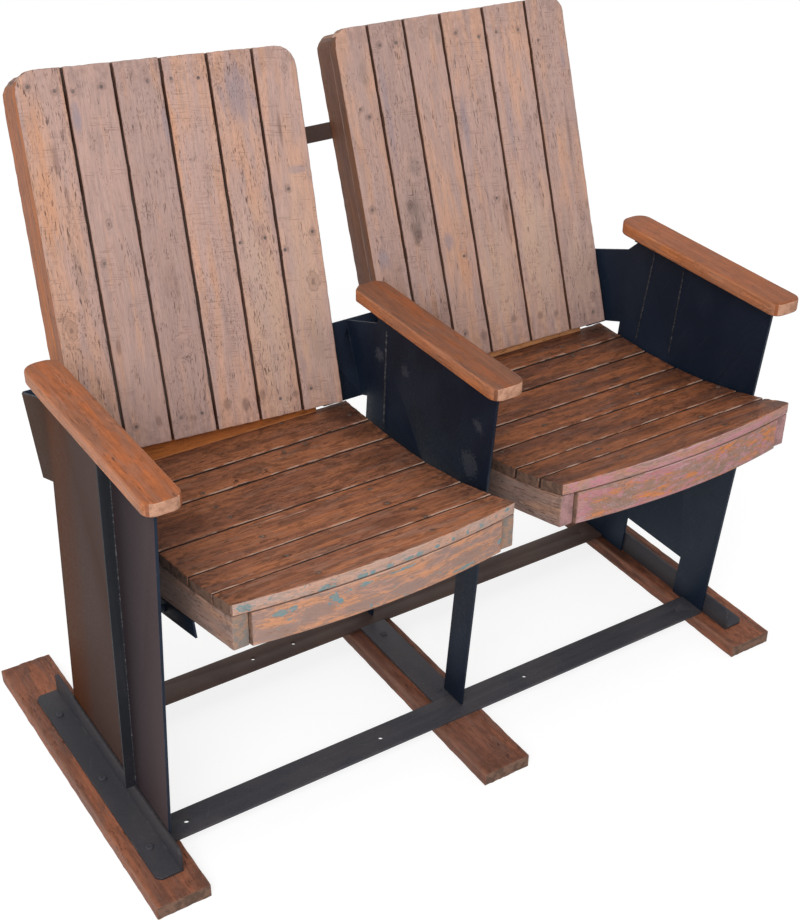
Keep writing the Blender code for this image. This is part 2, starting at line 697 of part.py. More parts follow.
def make_rods(materials, root):
    """Makes the long pivot rod and the short stop bar through the centre panel."""
    steel = materials["black_steel"]
    reach = END_PANEL_X + PLATE / 2
    round_bar("seat_pivot_rod", PIVOT_Y, PIVOT_Z, -reach, reach, PIVOT_DIAMETER, steel, root)
    inside = SEAT_WIDTH / 2 - SIDE_RAIL_THICK
    round_bar("seat_stop_bar", STOP_Y, STOP_Z, seat_middle("left") + inside,
              seat_middle("right") - inside, STOP_DIAMETER, steel, root)


def centre_on_origin(root):
    """Moves the whole bench so that the origin is under the middle of its box."""
    bpy.context.view_layer.update()
    graph = bpy.context.evaluated_depsgraph_get()
    corners = []
    for item in bpy.data.objects:
        if item.type == "MESH" and not item.hide_render:
            mesh = item.evaluated_get(graph).to_mesh()
            corners.extend(item.matrix_world @ vertex.co for vertex in mesh.vertices)
            item.evaluated_get(graph).to_mesh_clear()
    for axis in (0, 1):
        values = [corner[axis] for corner in corners]
        root.location[axis] -= (min(values) + max(values)) / 2
    bpy.context.view_layer.update()


def build_bench():
    """Builds the whole bench."""
    clear_scene()
    materials = make_materials()
    root = make_empty("bench", (0.0, 0.0, 0.0))
    recline = make_empty("backs_slope", (0.0, BACK_FOOT_Y, BACK_FOOT_Z), root)
    recline.rotation_euler = (-BACK_RECLINE, 0.0, 0.0)
    make_skids(materials, root)
    make_foot_irons(materials, root)
    make_floor_rails(materials, root)
    make_panels(materials, root, recline)
    make_armrests(materials, root)
    for side in ("left", "right"):
        make_back(side, materials, recline)
        make_seat(side, materials, root)
    make_tie_bar(materials, recline)
    make_rods(materials, root)
    centre_on_origin(root)
    print("origin shift", tuple(round(value, 6) for value in root.location))
    print("pivot", round(PIVOT_Y + root.location.y, 6), round(PIVOT_Z, 6))


build_bench()
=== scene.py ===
"""Looks of the teak cinema bench: worn boards, flaking paint, black steel, screws and welds.

Each board and each steel part stands for the node that it is named after and keeps
its place. Sizes are metres, in the frame's own axes: +X to the right and -Y to the
viewer as seen from the front, +Z up. Colours are written as they look on a screen.
"""

import logging
import math
import random
from contextlib import contextmanager
from dataclasses import dataclass, field, replace
from enum import Enum
from typing import Callable, Iterator

import bmesh
import bpy
from mathutils import Matrix, Vector


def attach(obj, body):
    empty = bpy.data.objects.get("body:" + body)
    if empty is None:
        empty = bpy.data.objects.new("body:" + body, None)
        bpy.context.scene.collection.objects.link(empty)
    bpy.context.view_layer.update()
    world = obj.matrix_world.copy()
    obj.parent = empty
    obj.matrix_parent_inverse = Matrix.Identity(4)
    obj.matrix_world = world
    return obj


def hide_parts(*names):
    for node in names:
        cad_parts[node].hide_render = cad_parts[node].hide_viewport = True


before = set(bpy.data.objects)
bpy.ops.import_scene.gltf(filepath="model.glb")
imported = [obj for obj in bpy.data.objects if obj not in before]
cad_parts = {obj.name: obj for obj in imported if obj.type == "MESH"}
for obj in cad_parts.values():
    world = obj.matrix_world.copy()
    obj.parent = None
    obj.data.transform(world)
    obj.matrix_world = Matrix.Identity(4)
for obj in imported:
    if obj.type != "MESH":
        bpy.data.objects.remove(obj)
log = logging.getLogger("bench")

Shade = tuple[float, float, float]
Sizes = tuple[float, float, float]
Pair = tuple[float, float]
Blot = tuple[float, float, float, float]
Spot = tuple[Vector, Vector]
Inputs = dict[str | int, object]

MERGE = 0.00002                        # corners closer than this are one
FLAT = math.radians(0.6)               # faces that turn less than this are one
CREASE = math.radians(38)              # edges that turn more than this stay sharp
SHARP_TURN = math.radians(12)          # wooden edges that turn more than this get nicks
CHAMFER_TURN = math.radians(24)        # wooden edges that turn more than this are softened
PLATE_TURN = math.radians(34)          # steel edges that turn more than this are broken
ENDWISE = 0.75                         # faces that look this much along the grain are ends
SIDEWISE = 0.80                        # faces that look this much to one side belong to it
SKEWED = 0.20                          # a best face looks no more than this along the grain
TOWARDS = 0.60                         # and at least this much the way that its board faces
NOISE_LOW, NOISE_HIGH = 0.28, 0.72     # nearly all of a noise lies between these
RAGGEDNESS = 2.2                       # how far a noise moves a patch's edge
SEED_STEPS = (3.71, 5.33, 7.19)        # how far a seed moves a pattern
GUIDE_STEPS = (0.37, 0.59, 0.83)       # how far a seed moves a surface's unevenness
MIX_BELOW, MIX_ABOVE, MIX_RESULT = 6, 7, 2     # the colour sockets of a mix node
SCREEN_WHITE = 255


class Body(Enum):
    """The bodies that the pieces ride on."""

    FRAME = "root"
    LEFT_SEAT = "seat_left"
    RIGHT_SEAT = "seat_right"


class Side(Enum):
    """The bench's two places to sit."""

    LEFT = "left"
    RIGHT = "right"

    @property
    def seat(self) -> Body:
        """Gives the body of the seat on this side."""
        return Body.LEFT_SEAT if self is Side.LEFT else Body.RIGHT_SEAT


class Facing(Enum):
    """The way that a board's best face looks."""

    VIEWER = (0.0, -0.94, 0.35)
    FRONT = (0.0, -1.0, 0.0)
    UP = (0.0, 0.0, 1.0)
    LEFT = (-1.0, 0.0, 0.0)
    RIGHT = (1.0, 0.0, 0.0)


def shade(red: int, green: int, blue: int) -> Shade:
    """Turns a screen colour into the light values that a shader takes.

    Args:
        red: Red as seen on a screen, 0 to 255.
        green: Green, likewise.
        blue: Blue, likewise.

    Returns:
        The three values from 0 to 1.
    """
    values = []
    for level in (red, green, blue):
        part = level / SCREEN_WHITE
        values.append(part / 12.92 if part <= 0.04045 else ((part + 0.055) / 1.055) ** 2.4)
    return tuple(values)


def corners(points: list[Vector]) -> tuple[Vector, Vector]:
    """Gives the lowest and the highest corner of the box round some points."""
    return (Vector([min(point[axis] for point in points) for axis in range(3)]),
            Vector([max(point[axis] for point in points) for axis in range(3)]))


@dataclass(frozen=True)
class Place:
    """A piece's own axes: X across it, Y along its grain and Z out of its best face."""

    centre: Vector
    axes: Matrix
    half: Vector

    @classmethod
    def measured(cls, mesh: bpy.types.Mesh, facing: Facing, grain: Vector | None = None) -> "Place":
        """Reads the axes and the half sizes from a merged mesh.

        Args:
            mesh: The mesh, with its flat faces whole.
            facing: The way that the best face looks.
            grain: The way that the grain runs, or None for the way of the longest edge.

        Returns:
            The place of the mesh.
        """
        if grain is None:
            spans = [mesh.vertices[e.vertices[1]].co - mesh.vertices[e.vertices[0]].co for e in mesh.edges]
            grain = max(spans, key=lambda span: span.length)
        along = grain.normalized()
        along *= math.copysign(1.0, max(along, key=abs))
        towards = Vector(facing.value)
        faces = [p for p in mesh.polygons
                 if abs(p.normal.dot(along)) < SKEWED and p.normal.dot(towards) > TOWARDS]
        out = max(faces, key=lambda face: face.area).normal.copy()
        out = (out - along * out.dot(along)).normalized()
        across = along.cross(out)
        axes = Matrix((across, along, out)).transposed()
        low, high = corners([axes.transposed() @ vertex.co for vertex in mesh.vertices])
        return cls(axes @ ((low + high) / 2), axes, (high - low) / 2)

    def point(self, across: float, along: float, out: float) -> Vector:
        """Gives the frame's point for a point in the piece's own axes."""
        return self.centre + self.axes @ Vector((across, along, out))


@dataclass(frozen=True)
class Field:
    """A number that varies over a surface, held by one socket of a recipe."""

    recipe: "Recipe"
    socket: bpy.types.NodeSocket

    def __add__(self, other: "Field | float") -> "Field":
        """Adds a number or another field."""
        return self.recipe.maths("ADD", self, other)

    def __sub__(self, other: "Field | float") -> "Field":
        """Takes a number or another field away."""
        return self.recipe.maths("SUBTRACT", self, other)

    def __mul__(self, other: "Field | float") -> "Field":
        """Multiplies by a number or another field."""
        return self.recipe.maths("MULTIPLY", self, other)

    def __abs__(self) -> "Field":
        """Gives the size without its sign."""
        return self.recipe.maths("ABSOLUTE", self, 0.0)

    def most(self, other: "Field | float") -> "Field":
        """Gives the larger of this and another field."""
        return self.recipe.maths("MAXIMUM", self, other)

    def rise(self, low: float, high: float) -> "Field":
        """Gives 0 at low and 1 at high, with a smooth step between them."""
        return self.recipe.ranged(self, (low, high, 0.0, 1.0), "SMOOTHSTEP")

    def span(self, low: float, high: float, to_low: float, to_high: float) -> "Field":
        """Stretches the range from low to high over another range."""
        return self.recipe.ranged(self, (low, high, to_low, to_high), "LINEAR")

    def share(self, amount: float, soft: float = 0.10) -> "Field":
        """Masks about a share of the surface, where this field is a noise.

        Args:
            amount: The share to cover, 0 to 1.
            soft: How wide the edge of the mask is, in the noise's values.

        Returns:
            The mask.
        """
        edge = NOISE_HIGH - (NOISE_HIGH - NOISE_LOW) * amount
        return self.rise(edge - soft / 2, edge + soft / 2)


def feed(tree: bpy.types.NodeTree, socket: bpy.types.NodeSocket, value: object) -> None:
    """Links a field or a socket to an input, or sets a plain value on it.

    Args:
        tree: The tree that the input is in.
        socket: The input.
        value: A field, a socket, a number or a colour.
    """
    if isinstance(value, Field):
        tree.links.new(value.socket, socket)
    elif isinstance(value, bpy.types.NodeSocket):
        tree.links.new(value, socket)
    elif isinstance(value, tuple) and len(socket.default_value) == 4:
        socket.default_value = (*value, 1.0)
    else:
        socket.default_value = value


def add_node(tree: bpy.types.NodeTree, kind: str, inputs: Inputs | None = None,
             **settings: object) -> bpy.types.Node:
    """Adds a node to a tree.

    Args:
        tree: The tree.
        kind: The node's type.
        inputs: What each input gets, by the input's name or number.
        settings: The node's own settings.

    Returns:
        The node.
    """
    made = tree.nodes.new(kind)
    for name, value in settings.items():
        setattr(made, name, value)
    for name, value in (inputs or {}).items():
        feed(tree, made.inputs[name], value)
    return made


class Recipe:
    """One material, built out of nodes in the axes of the piece that it dresses."""

    def __init__(self, name: str, place: Place) -> None:
        """Starts a material.

        Args:
            name: The material's name.
            place: The axes that its patterns follow.
        """
        self.material = bpy.data.materials.new(name)
        self.material.use_nodes = True
        self.tree = self.material.node_tree
        self.tree.nodes.clear()
        coordinates = self.node("ShaderNodeTexCoord").outputs["Object"]
        self.local = self.node("ShaderNodeMapping", {
            "Vector": coordinates, "Location": place.centre, "Rotation": place.axes.to_euler("XYZ"),
        }, vector_type="TEXTURE").outputs[0]
        parts = self.node("ShaderNodeSeparateXYZ", {0: self.local}).outputs
        self.across, self.along, self.out = (Field(self, socket) for socket in parts)

    def node(self, kind: str, inputs: Inputs | None = None, **settings: object) -> bpy.types.Node:
        """Adds a node with its inputs and some of its settings."""
        return add_node(self.tree, kind, inputs, **settings)

    def maths(self, operation: str, first: Field | float, second: Field | float) -> Field:
        """Joins two numbers or fields by one operation."""
        made = self.node("ShaderNodeMath", {0: first, 1: second}, operation=operation)
        return Field(self, made.outputs[0])

    def ranged(self, value: Field, limits: tuple[float, float, float, float], kind: str) -> Field:
        """Maps a field from one range to another, clamped at both ends."""
        inputs = dict(zip(("Value", "From Min", "From Max", "To Min", "To Max"), (value, *limits)))
        return Field(self, self.node("ShaderNodeMapRange", inputs, interpolation_type=kind).outputs[0])

    def length(self, first: Field, second: Field) -> Field:
        """Gives the distance from zero of a point in two fields."""
        return self.maths("SQRT", first * first + second * second, 0.0)

    def vector(self, *parts: Field) -> bpy.types.NodeSocket:
        """Joins three fields into one point."""
        return self.node("ShaderNodeCombineXYZ", dict(enumerate(parts))).outputs[0]

    def stretched(self, size: Sizes, seed: float, at: bpy.types.NodeSocket | None,
                  turn: float = 0.0) -> bpy.types.NodeSocket:
        """Stretches a pattern's space so that its features have a real size.

        Args:
            size: The features' size across, along and out of the face.
            seed: Picks another part of the same pattern.
            at: The point to read, or None for the piece's own axes.
            turn: Turns the pattern in the face, in radians.

        Returns:
            The point in the pattern's space.
        """
        source = self.local if at is None else at
        if turn:
            turned = {"Vector": source, "Rotation": (0.0, 0.0, turn)}
            source = self.node("ShaderNodeMapping", turned, vector_type="POINT").outputs[0]
        return self.node("ShaderNodeMapping", {
            "Vector": source, "Scale": [1 / part for part in size],
            "Location": [seed * step for step in SEED_STEPS],
        }, vector_type="POINT").outputs[0]

    def noise(self, size: Sizes, seed: float, detail: float = 2.0,
              at: bpy.types.NodeSocket | None = None, turn: float = 0.0, warp: float = 0.0) -> Field:
        """Gives a soft noise with features of a real size.

        Args:
            size: The features' size across, along and out of the face.
            seed: Picks another part of the noise.
            detail: How many finer layers it has.
            at: The point to read, or None for the piece's own axes.
            turn: Turns the noise in the face, in radians.
            warp: How far the noise is bent by itself.

        Returns:
            Values around 0.5.
        """
        made = self.node("ShaderNodeTexNoise", {
            "Vector": self.stretched(size, seed, at, turn), "Scale": 1.0, "Detail": detail,
            "Distortion": warp,
        })
        return Field(self, made.outputs[0])

    def cells(self, size: Sizes, seed: float) -> Field:
        """Gives the distance to the nearest of many scattered points, in cell sizes."""
        made = self.node("ShaderNodeTexVoronoi", {"Vector": self.stretched(size, seed, None), "Scale": 1.0})
        return Field(self, made.outputs["Distance"])

    def ragged(self, middle: Pair, half: Pair, rough: Field, rim: Pair) -> Field:
        """Masks one patch with a ragged edge.

        Args:
            middle: The patch's middle, across and along.
            half: Its half sizes, likewise.
            rough: The noise that makes its edge ragged.
            rim: Where the mask starts and where it is whole, in half sizes.

        Returns:
            The mask.
        """
        beside = (self.across - middle[0]) * (1 / half[0])
        along = (self.along - middle[1]) * (1 / half[1])
        return (self.length(beside, along) + (rough - 0.5) * RAGGEDNESS).rise(*rim)

    def blend(self, below: object, above: object, mask: Field) -> bpy.types.NodeSocket:
        """Lays one colour over another where a mask is 1."""
        inputs = {0: mask, MIX_BELOW: below, MIX_ABOVE: above}
        return self.node("ShaderNodeMix", inputs, data_type="RGBA").outputs[MIX_RESULT]

    def scaled(self, colour: bpy.types.NodeSocket, amount: Field) -> bpy.types.NodeSocket:
        """Makes a colour darker or lighter."""
        inputs = {0: colour, "Scale": amount}
        return self.node("ShaderNodeVectorMath", inputs, operation="SCALE").outputs[0]

    def finish(self, colour: bpy.types.NodeSocket, roughness: Field, height: Field, depth: float,
               gloss: float) -> bpy.types.Material:
        """Ends the material with its shader.

        Args:
            colour: The surface's colour.
            roughness: Its roughness.
            height: Its fine relief, 0 to 1.
            depth: How deep the relief is.
            gloss: Its specular level.

        Returns:
            The finished material.
        """
        bump = self.node("ShaderNodeBump", {"Strength": 1.0, "Distance": depth, "Height": height})
        shader = self.node("ShaderNodeBsdfPrincipled", {
            "Base Color": colour, "Roughness": roughness, "Normal": bump.outputs[0],
            "Specular IOR Level": gloss,
        })
        self.node("ShaderNodeOutputMaterial", {"Surface": shader.outputs[0]})
        return self.material


@dataclass(frozen=True)
class Knot:
    """A knot in a board's best face, placed from the board's middle."""

    across: float
    along: float
    radius: float
    dark: float = 0.7


class StainAndLightTint(Enum):
    """The tints of the patches on the boards: most are left by weather and use, but the pale ones low on the
    back slats are painted light and the brown one on the right skid is a painted shadow.
    """

    BLUE = shade(152, 138, 146)
    GREY = shade(150, 130, 122)
    WARM = shade(208, 152, 118)
    DARK = shade(112, 88, 80)
    BROWN = shade(72, 40, 28)
    PALE = shade(208, 176, 158)


@dataclass(frozen=True)
class Patch:
    """A tinted patch on a board's best face: its middle, its half size and its tint."""

    across: float
    along: float
    wide: float
    long: float
    stain: StainAndLightTint
    strength: float = 0.6


@dataclass(frozen=True)
class Marks:
    """What sets one board apart from the next: its tone, shares from 0 to 1, and single marks."""

    warm: float = 0.5
    silver: float = 0.4
    cracks: float = 0.4
    pits: float = 0.4
    saw: float = 0.3
    tone: float = 1.0
    knots: tuple[Knot, ...] = ()
    patches: tuple[Patch, ...] = ()
    fixings: tuple[Pair, ...] = ()


@dataclass(frozen=True)
class TeakFinish:
    """Old teak: broad tints, fine lines, dark cracks and pits, and edge bands: pale wear on the arms, skids
    and rails, and painted shade beside the gaps on the back and seat slats.
    """

    ground: Shade
    warm: Shade
    silver: Shade
    crack: Shade
    edge: Shade
    contrast: float = 0.13
    line: float = 0.0018
    edge_width: float = 0.0026
    edge_share: float = 0.55
    front_dust: float = 0.0
    deep: float = 0.0
    smudge: float = 0.5
    stain: float = 0.7
    roughness: float = 0.66
    gloss: float = 0.22
    scratches: float = 0.0

    def material(self, name: str, place: Place, seed: float, marks: Marks) -> bpy.types.Material:
        """Makes the wood of one board.

        Args:
            name: The material's name.
            place: The board's own axes.
            seed: Picks another stretch of grain.
            marks: What sets this board apart.

        Returns:
            The material.
        """
        mix = Recipe(name, place)
        grain, near_knot = self.grain(mix, marks)
        broad = mix.noise((0.022, 0.200, 0.022), seed, warp=0.3)
        patch = mix.noise((0.010, 0.055, 0.010), seed + 1, detail=4, warp=0.4)
        fine = mix.noise((self.line, self.line * 34, self.line), seed + 2, detail=3, at=grain)
        coarse = mix.noise((self.line * 3.2, self.line * 60, self.line * 3.2), seed + 3, at=grain)
        colour = mix.blend(self.ground, self.warm, broad.share(marks.warm, 0.22))
        colour = mix.blend(colour, self.silver, patch.share(marks.silver, 0.20) * 0.5)
        darker, lighter = 1 - self.contrast, 1 + self.contrast
        colour = mix.scaled(colour, coarse.span(0.30, 0.70, darker, lighter) * marks.tone)
        colour = mix.scaled(colour, fine.span(NOISE_LOW, NOISE_HIGH, darker, lighter))
        # Patches tint the face; the pale ones low on the back slats are painted light, the brown one on the
        # right skid's rear a painted shadow.
        for spot in marks.patches:
            mask = mix.ragged((spot.across, spot.along), (spot.wide, spot.long), patch, (1.25, 0.35))
            colour = mix.blend(colour, spot.stain.value, mask * spot.strength)
        dark = self.flaws(mix, marks, seed, grain).most(near_knot)
        end = abs(mix.along) * -1 + place.half.y
        smear = mix.noise((0.008, 0.011, 0.008), seed + 8, detail=4).share(0.45, 0.2)
        dark = dark.most(smear * end.rise(0.060, 0.010) * self.smudge)
        for across, along in marks.fixings:
            spot = mix.length(mix.across - across, mix.along - along)
            dark = dark.most((spot + (smear - 0.5) * 0.006).rise(0.0062, 0.0016) * self.stain)
        if self.deep:
            shaded = mix.noise((0.008, 0.026, 0.008), seed + 10, detail=5, warp=0.7).share(0.40, 0.10)
            shaded = shaded.most(end.rise(0.075, 0.0) * (patch.span(0.35, 0.60, 0.4, 1.0)))
            colour = mix.blend(colour, self.crack, shaded * self.deep)
        colour = mix.blend(colour, self.crack, dark * 0.85)
        # Edge bands along the best face's long edges: pale wear on the arms, skids and rails; on the back and
        # seat slats their darker colour is painted shade beside the gaps.
        margin = abs(mix.across) * -1 + place.half.x
        worn = (margin + (patch - 0.5) * 0.005).rise(self.edge_width * 1.6, self.edge_width * 0.5)
        corner = (abs(mix.out) * -1 + place.half.z).rise(self.edge_width * 3, self.edge_width)
        colour = mix.blend(colour, self.edge, worn * corner * self.edge_share)
        if self.front_dust:
            front = mix.across * -1 + place.half.x
            broken = mix.noise((0.004, 0.030, 0.004), seed + 14).share(0.5, 0.12)
            dusty = (front + (patch - 0.5) * 0.004).rise(0.0032, 0.0012) * broken
            colour = mix.blend(colour, StainAndLightTint.PALE.value, dusty * self.front_dust)
        if self.scratches:
            scored = mix.noise((0.0009, 0.050, 0.0009), seed + 9, turn=0.9).rise(0.70, 0.76)
            colour = mix.blend(colour, StainAndLightTint.PALE.value, scored * self.scratches)
        height = fine * 0.35 + coarse * 0.25 - dark * 0.55
        rough = fine.span(0.3, 0.7, self.roughness - 0.08, self.roughness + 0.08)
        return mix.finish(colour, rough, height, 0.0006, gloss=self.gloss)

    def flaws(self, mix: Recipe, marks: Marks, seed: float, grain: bpy.types.NodeSocket) -> Field:
        """Masks cracks, ticks and pits along the grain, and saw lines across it.

        Args:
            mix: The material's recipe.
            marks: The board's marks.
            seed: Picks another stretch of grain.
            grain: The point to read the grain's noises at.

        Returns:
            The mask.
        """
        region = mix.noise((0.018, 0.085, 0.018), seed + 4)
        crack = mix.noise((0.0014, 0.015, 0.0014), seed + 5, at=grain).rise(0.59, 0.68)
        crack = crack * region.share(marks.cracks, 0.14)
        ticks = mix.noise((0.0008, 0.0090, 0.0008), seed + 11, at=grain).rise(0.57, 0.68)
        ticks = ticks * region.span(0.35, 0.60, 0.9, 0.4)
        holes = mix.noise((0.0013, 0.0060, 0.0013), seed + 6, detail=1, warp=0.8).rise(0.62, 0.68)
        holes = holes * mix.noise((0.018, 0.040, 0.018), seed + 7).share(marks.pits, 0.10)
        saw = mix.noise((0.030, 0.0010, 0.030), seed + 12, turn=0.10).rise(0.56, 0.68)
        saw = saw * mix.noise((0.030, 0.045, 0.030), seed + 13).share(marks.saw, 0.10)
        return crack.most(ticks * 0.45).most(holes * 0.7).most(saw * 0.42)

    def grain(self, mix: Recipe, marks: Marks) -> tuple[bpy.types.NodeSocket, Field]:
        """Bends the grain round a board's knots.

        Args:
            mix: The material's recipe.
            marks: The board's marks.

        Returns:
            The point to read the grain's noises at, and a mask of the knots' hearts.
        """
        across = mix.across + (mix.noise((0.05, 0.16, 0.05), 40.0) - 0.5) * 0.012
        heart = mix.across * 0.0
        ragged = mix.noise((0.004, 0.007, 0.004), 41.0, detail=4) - 0.5
        for knot in marks.knots:
            beside = mix.across - knot.across
            along = mix.along - knot.along
            reach = mix.length(beside, along * 0.62) + ragged * (knot.radius * 1.3)
            near = reach.rise(knot.radius * 2.6, knot.radius * 0.8)
            across = across + (reach * 1.6 - across) * near
            ring = abs(reach - knot.radius).rise(knot.radius * 0.26, knot.radius * 0.05) * (knot.dark * 0.65)
            disc = reach.rise(knot.radius * 1.05, knot.radius * 0.70) * (knot.dark * 0.38)
            core = reach.rise(knot.radius * 0.55, knot.radius * 0.10) * knot.dark
            heart = heart.most(disc.most(core)).most(ring)
        return mix.vector(across, mix.along, mix.out), heart


@dataclass(frozen=True)
class EndGrainFinish:
    """Sawn ends of boards: growth rings, open pores and a little dirt."""

    ground: Shade
    ring: Shade
    dirt: Shade

    def material(self, name: str, place: Place, seed: float) -> bpy.types.Material:
        """Makes the end grain of one board.

        Args:
            name: The material's name.
            place: The board's own axes.
            seed: Picks other rings.

        Returns:
            The material.
        """
        mix = Recipe(name, place)
        bent = (mix.noise((0.012, 0.02, 0.012), seed) - 0.5) * 0.010
        rings = mix.length(mix.across + 0.05, mix.out + 0.07) + bent
        band = mix.maths("SINE", rings * 2400.0, 0.0).span(-1.0, 1.0, 0.0, 1.0)
        pores = mix.noise((0.0012, 0.0012, 0.0012), seed + 1).rise(0.56, 0.66)
        stain = mix.noise((0.010, 0.010, 0.010), seed + 2, detail=3).share(0.45, 0.2)
        colour = mix.blend(self.ground, self.ring, band * 0.5)
        colour = mix.blend(colour, self.dirt, (pores * 0.5).most(stain * 0.7))
        height = band * 0.3 - pores * 0.5
        return mix.finish(colour, stain.span(0.0, 1.0, 0.70, 0.80), height, 0.0004, gloss=0.15)


@dataclass(frozen=True)
class PaintFinish:
    """Bare and stained wood with what is left of old paint."""

    wood: Shade
    warm: Shade
    grey: Shade
    dark: Shade
    paint: Shade
    second: Shade
    pale: Shade
    cover: float
    warm_share: float
    grey_share: float
    curls: float = 0.0
    rims: float = 0.0
    flake: Sizes = (0.007, 0.012, 0.007)
    patches: tuple[Blot, ...] = ()
    stains: tuple[Blot, ...] = ()

    def material(self, name: str, place: Place, seed: float) -> bpy.types.Material:
        """Makes a painted front.

        Args:
            name: The material's name.
            place: The board's own axes, with X down the front and Y to the right.
            seed: Picks other flakes.

        Returns:
            The material.
        """
        mix = Recipe(name, place)
        fine = mix.noise((0.0014, 0.050, 0.0014), seed, detail=3)
        broad = mix.noise((0.010, 0.070, 0.010), seed + 1, detail=4, warp=0.6)
        stain = mix.noise((0.0038, 0.020, 0.0038), seed + 2, detail=5, warp=0.8)
        flakes = mix.noise(self.flake, seed + 3, detail=4, warp=0.5)
        speck = mix.noise((0.0022, 0.0040, 0.0022), seed + 4, detail=2)
        colour = mix.blend(self.wood, self.warm, broad.share(self.warm_share, 0.2))
        colour = mix.scaled(colour, fine.span(NOISE_LOW, NOISE_HIGH, 0.90, 1.10))
        under = (stain + (broad - 0.5) * -0.5).share(self.grey_share, 0.26)
        under = self.spread(mix, self.stains, stain, under)
        colour = mix.blend(colour, self.grey, under * 0.7)
        left = self.spread(mix, self.patches, flakes, flakes.share(self.cover, 0.06))
        left = left * speck.span(0.34, 0.46, 0.45, 1.0)
        tint = mix.blend(self.paint, self.second, stain.share(0.5, 0.2))
        tint = mix.scaled(tint, fine.span(NOISE_LOW, NOISE_HIGH, 0.93, 1.07))
        colour = mix.blend(colour, tint, left * 0.9)
        curl = abs(flakes - 0.50).rise(0.020, 0.004) * stain.share(0.5, 0.1)
        colour = mix.blend(colour, self.pale, curl * self.curls)
        rim = abs(stain - 0.56).rise(0.020, 0.005) * broad.share(0.5, 0.1)
        colour = mix.blend(colour, self.dark, rim * self.rims)
        tick = mix.noise((0.0010, 0.012, 0.0010), seed + 5).rise(0.62, 0.70)
        colour = mix.blend(colour, self.dark, tick * 0.45)
        margin = abs(mix.across) * -1 + place.half.x
        worn = (margin + (stain - 0.5) * 0.004).rise(0.0030, 0.0012)
        colour = mix.blend(colour, self.pale, worn * 0.55)
        height = left * 0.5 + fine * 0.35 - rim * 0.2
        rough = left.span(0.0, 1.0, 0.70, 0.58)
        return mix.finish(colour, rough, height, 0.0005, gloss=0.2)

    def spread(self, mix: Recipe, patches: tuple[Blot, ...], rough: Field, mask: Field) -> Field:
        """Adds ragged patches to a mask.

        Args:
            mix: The material's recipe.
            patches: Each patch's place down and to the right of the middle, and its half sizes.
            rough: The noise that makes the edges ragged.
            mask: The mask so far.

        Returns:
            The wider mask.
        """
        for down, right, tall, wide in patches:
            mask = mask.most(mix.ragged((down, right), (tall, wide), rough, (1.05, 0.75)))
        return mask


@dataclass(frozen=True)
class SteelFinish:
    """Old black steel: clouds, stripes, scuffs, scratches and pale specks."""

    base: Shade
    tint: Shade
    pale: Shade
    tint_share: float = 0.5
    stripes: tuple[tuple[float, Shade], ...] = ()
    scuffs: tuple[tuple[float, float, float], ...] = ()
    specks: float = 0.35
    scratches: float = 0.25
    bare: float = 0.0
    roughness: float = 0.56
    gloss: float = 0.20

    def material(self, name: str, place: Place, seed: float, bare: float | None = None) -> bpy.types.Material:
        """Makes the steel of one part.

        Args:
            name: The material's name.
            place: The part's own axes.
            seed: Picks other clouds.
            bare: How much of the paint is worn off, or None for the finish's own value.

        Returns:
            The material.
        """
        worn_share = self.bare if bare is None else bare
        mix = Recipe(name, place)
        cloud = mix.noise((0.060, 0.090, 0.060), seed, detail=3)
        mottle = mix.noise((0.0030, 0.0035, 0.0030), seed + 2, detail=3)
        if self.stripes:
            colour = self.striped(mix, place, cloud)
        else:
            colour = mix.blend(self.base, self.tint, cloud.share(self.tint_share, 0.22))
        colour = mix.scaled(colour, mottle.span(0.3, 0.7, 0.88, 1.14))
        score = mix.noise((0.0011, 0.060, 0.0011), seed + 3, turn=0.5).rise(0.67, 0.76)
        score = score.most(mix.noise((0.0011, 0.045, 0.0011), seed + 4, turn=-1.0).rise(0.68, 0.77))
        colour = mix.blend(colour, self.pale, score * self.scratches)
        dots = mix.cells((0.010, 0.010, 0.010), seed + 5).rise(0.12, 0.05)
        dots = dots * cloud.share(0.45, 0.2)
        colour = mix.blend(colour, self.pale, dots * self.specks)
        for y, z, size in self.scuffs:
            beside = mix.across - (place.centre.y - y)
            away = mix.length(beside, mix.along - (z - place.centre.z)) * (1 / size)
            rubbed = (away + (mottle - 0.5) * 2.4 + (cloud - 0.5) * 2.4).rise(1.0, 0.5)
            colour = mix.blend(colour, self.pale, rubbed * mix.out.rise(0.0, 0.001) * 0.50)
        if worn_share:
            worn = mix.noise((0.004, 0.018, 0.004), seed + 6, detail=3).share(worn_share, 0.25)
            colour = mix.blend(colour, self.pale, worn * 0.6)
        rough = mottle.span(0.3, 0.7, self.roughness - 0.06, self.roughness + 0.10)
        height = mottle * 0.6 + cloud * 0.4
        return mix.finish(colour, rough, height, 0.00020, gloss=self.gloss)

    def striped(self, mix: Recipe, place: Place, cloud: Field) -> bpy.types.NodeSocket:
        """Gives upright stripes of the finish's own tints.

        Args:
            mix: The material's recipe.
            place: The part's own axes.
            cloud: The noise that the stripes' edges wander by.

        Returns:
            The colour.
        """
        across = (mix.across * (1 / place.half.x) + (cloud - 0.5) * 0.10).span(-1.0, 1.0, 0.0, 1.0)
        ramp = mix.node("ShaderNodeValToRGB", {0: across})
        points = ramp.color_ramp.elements
        points.remove(points[1])
        points[0].color = (*self.stripes[0][1], 1.0)
        for where, tint in self.stripes[1:]:
            points.new((where + 1) / 2).color = (*tint, 1.0)
        return ramp.outputs[0]
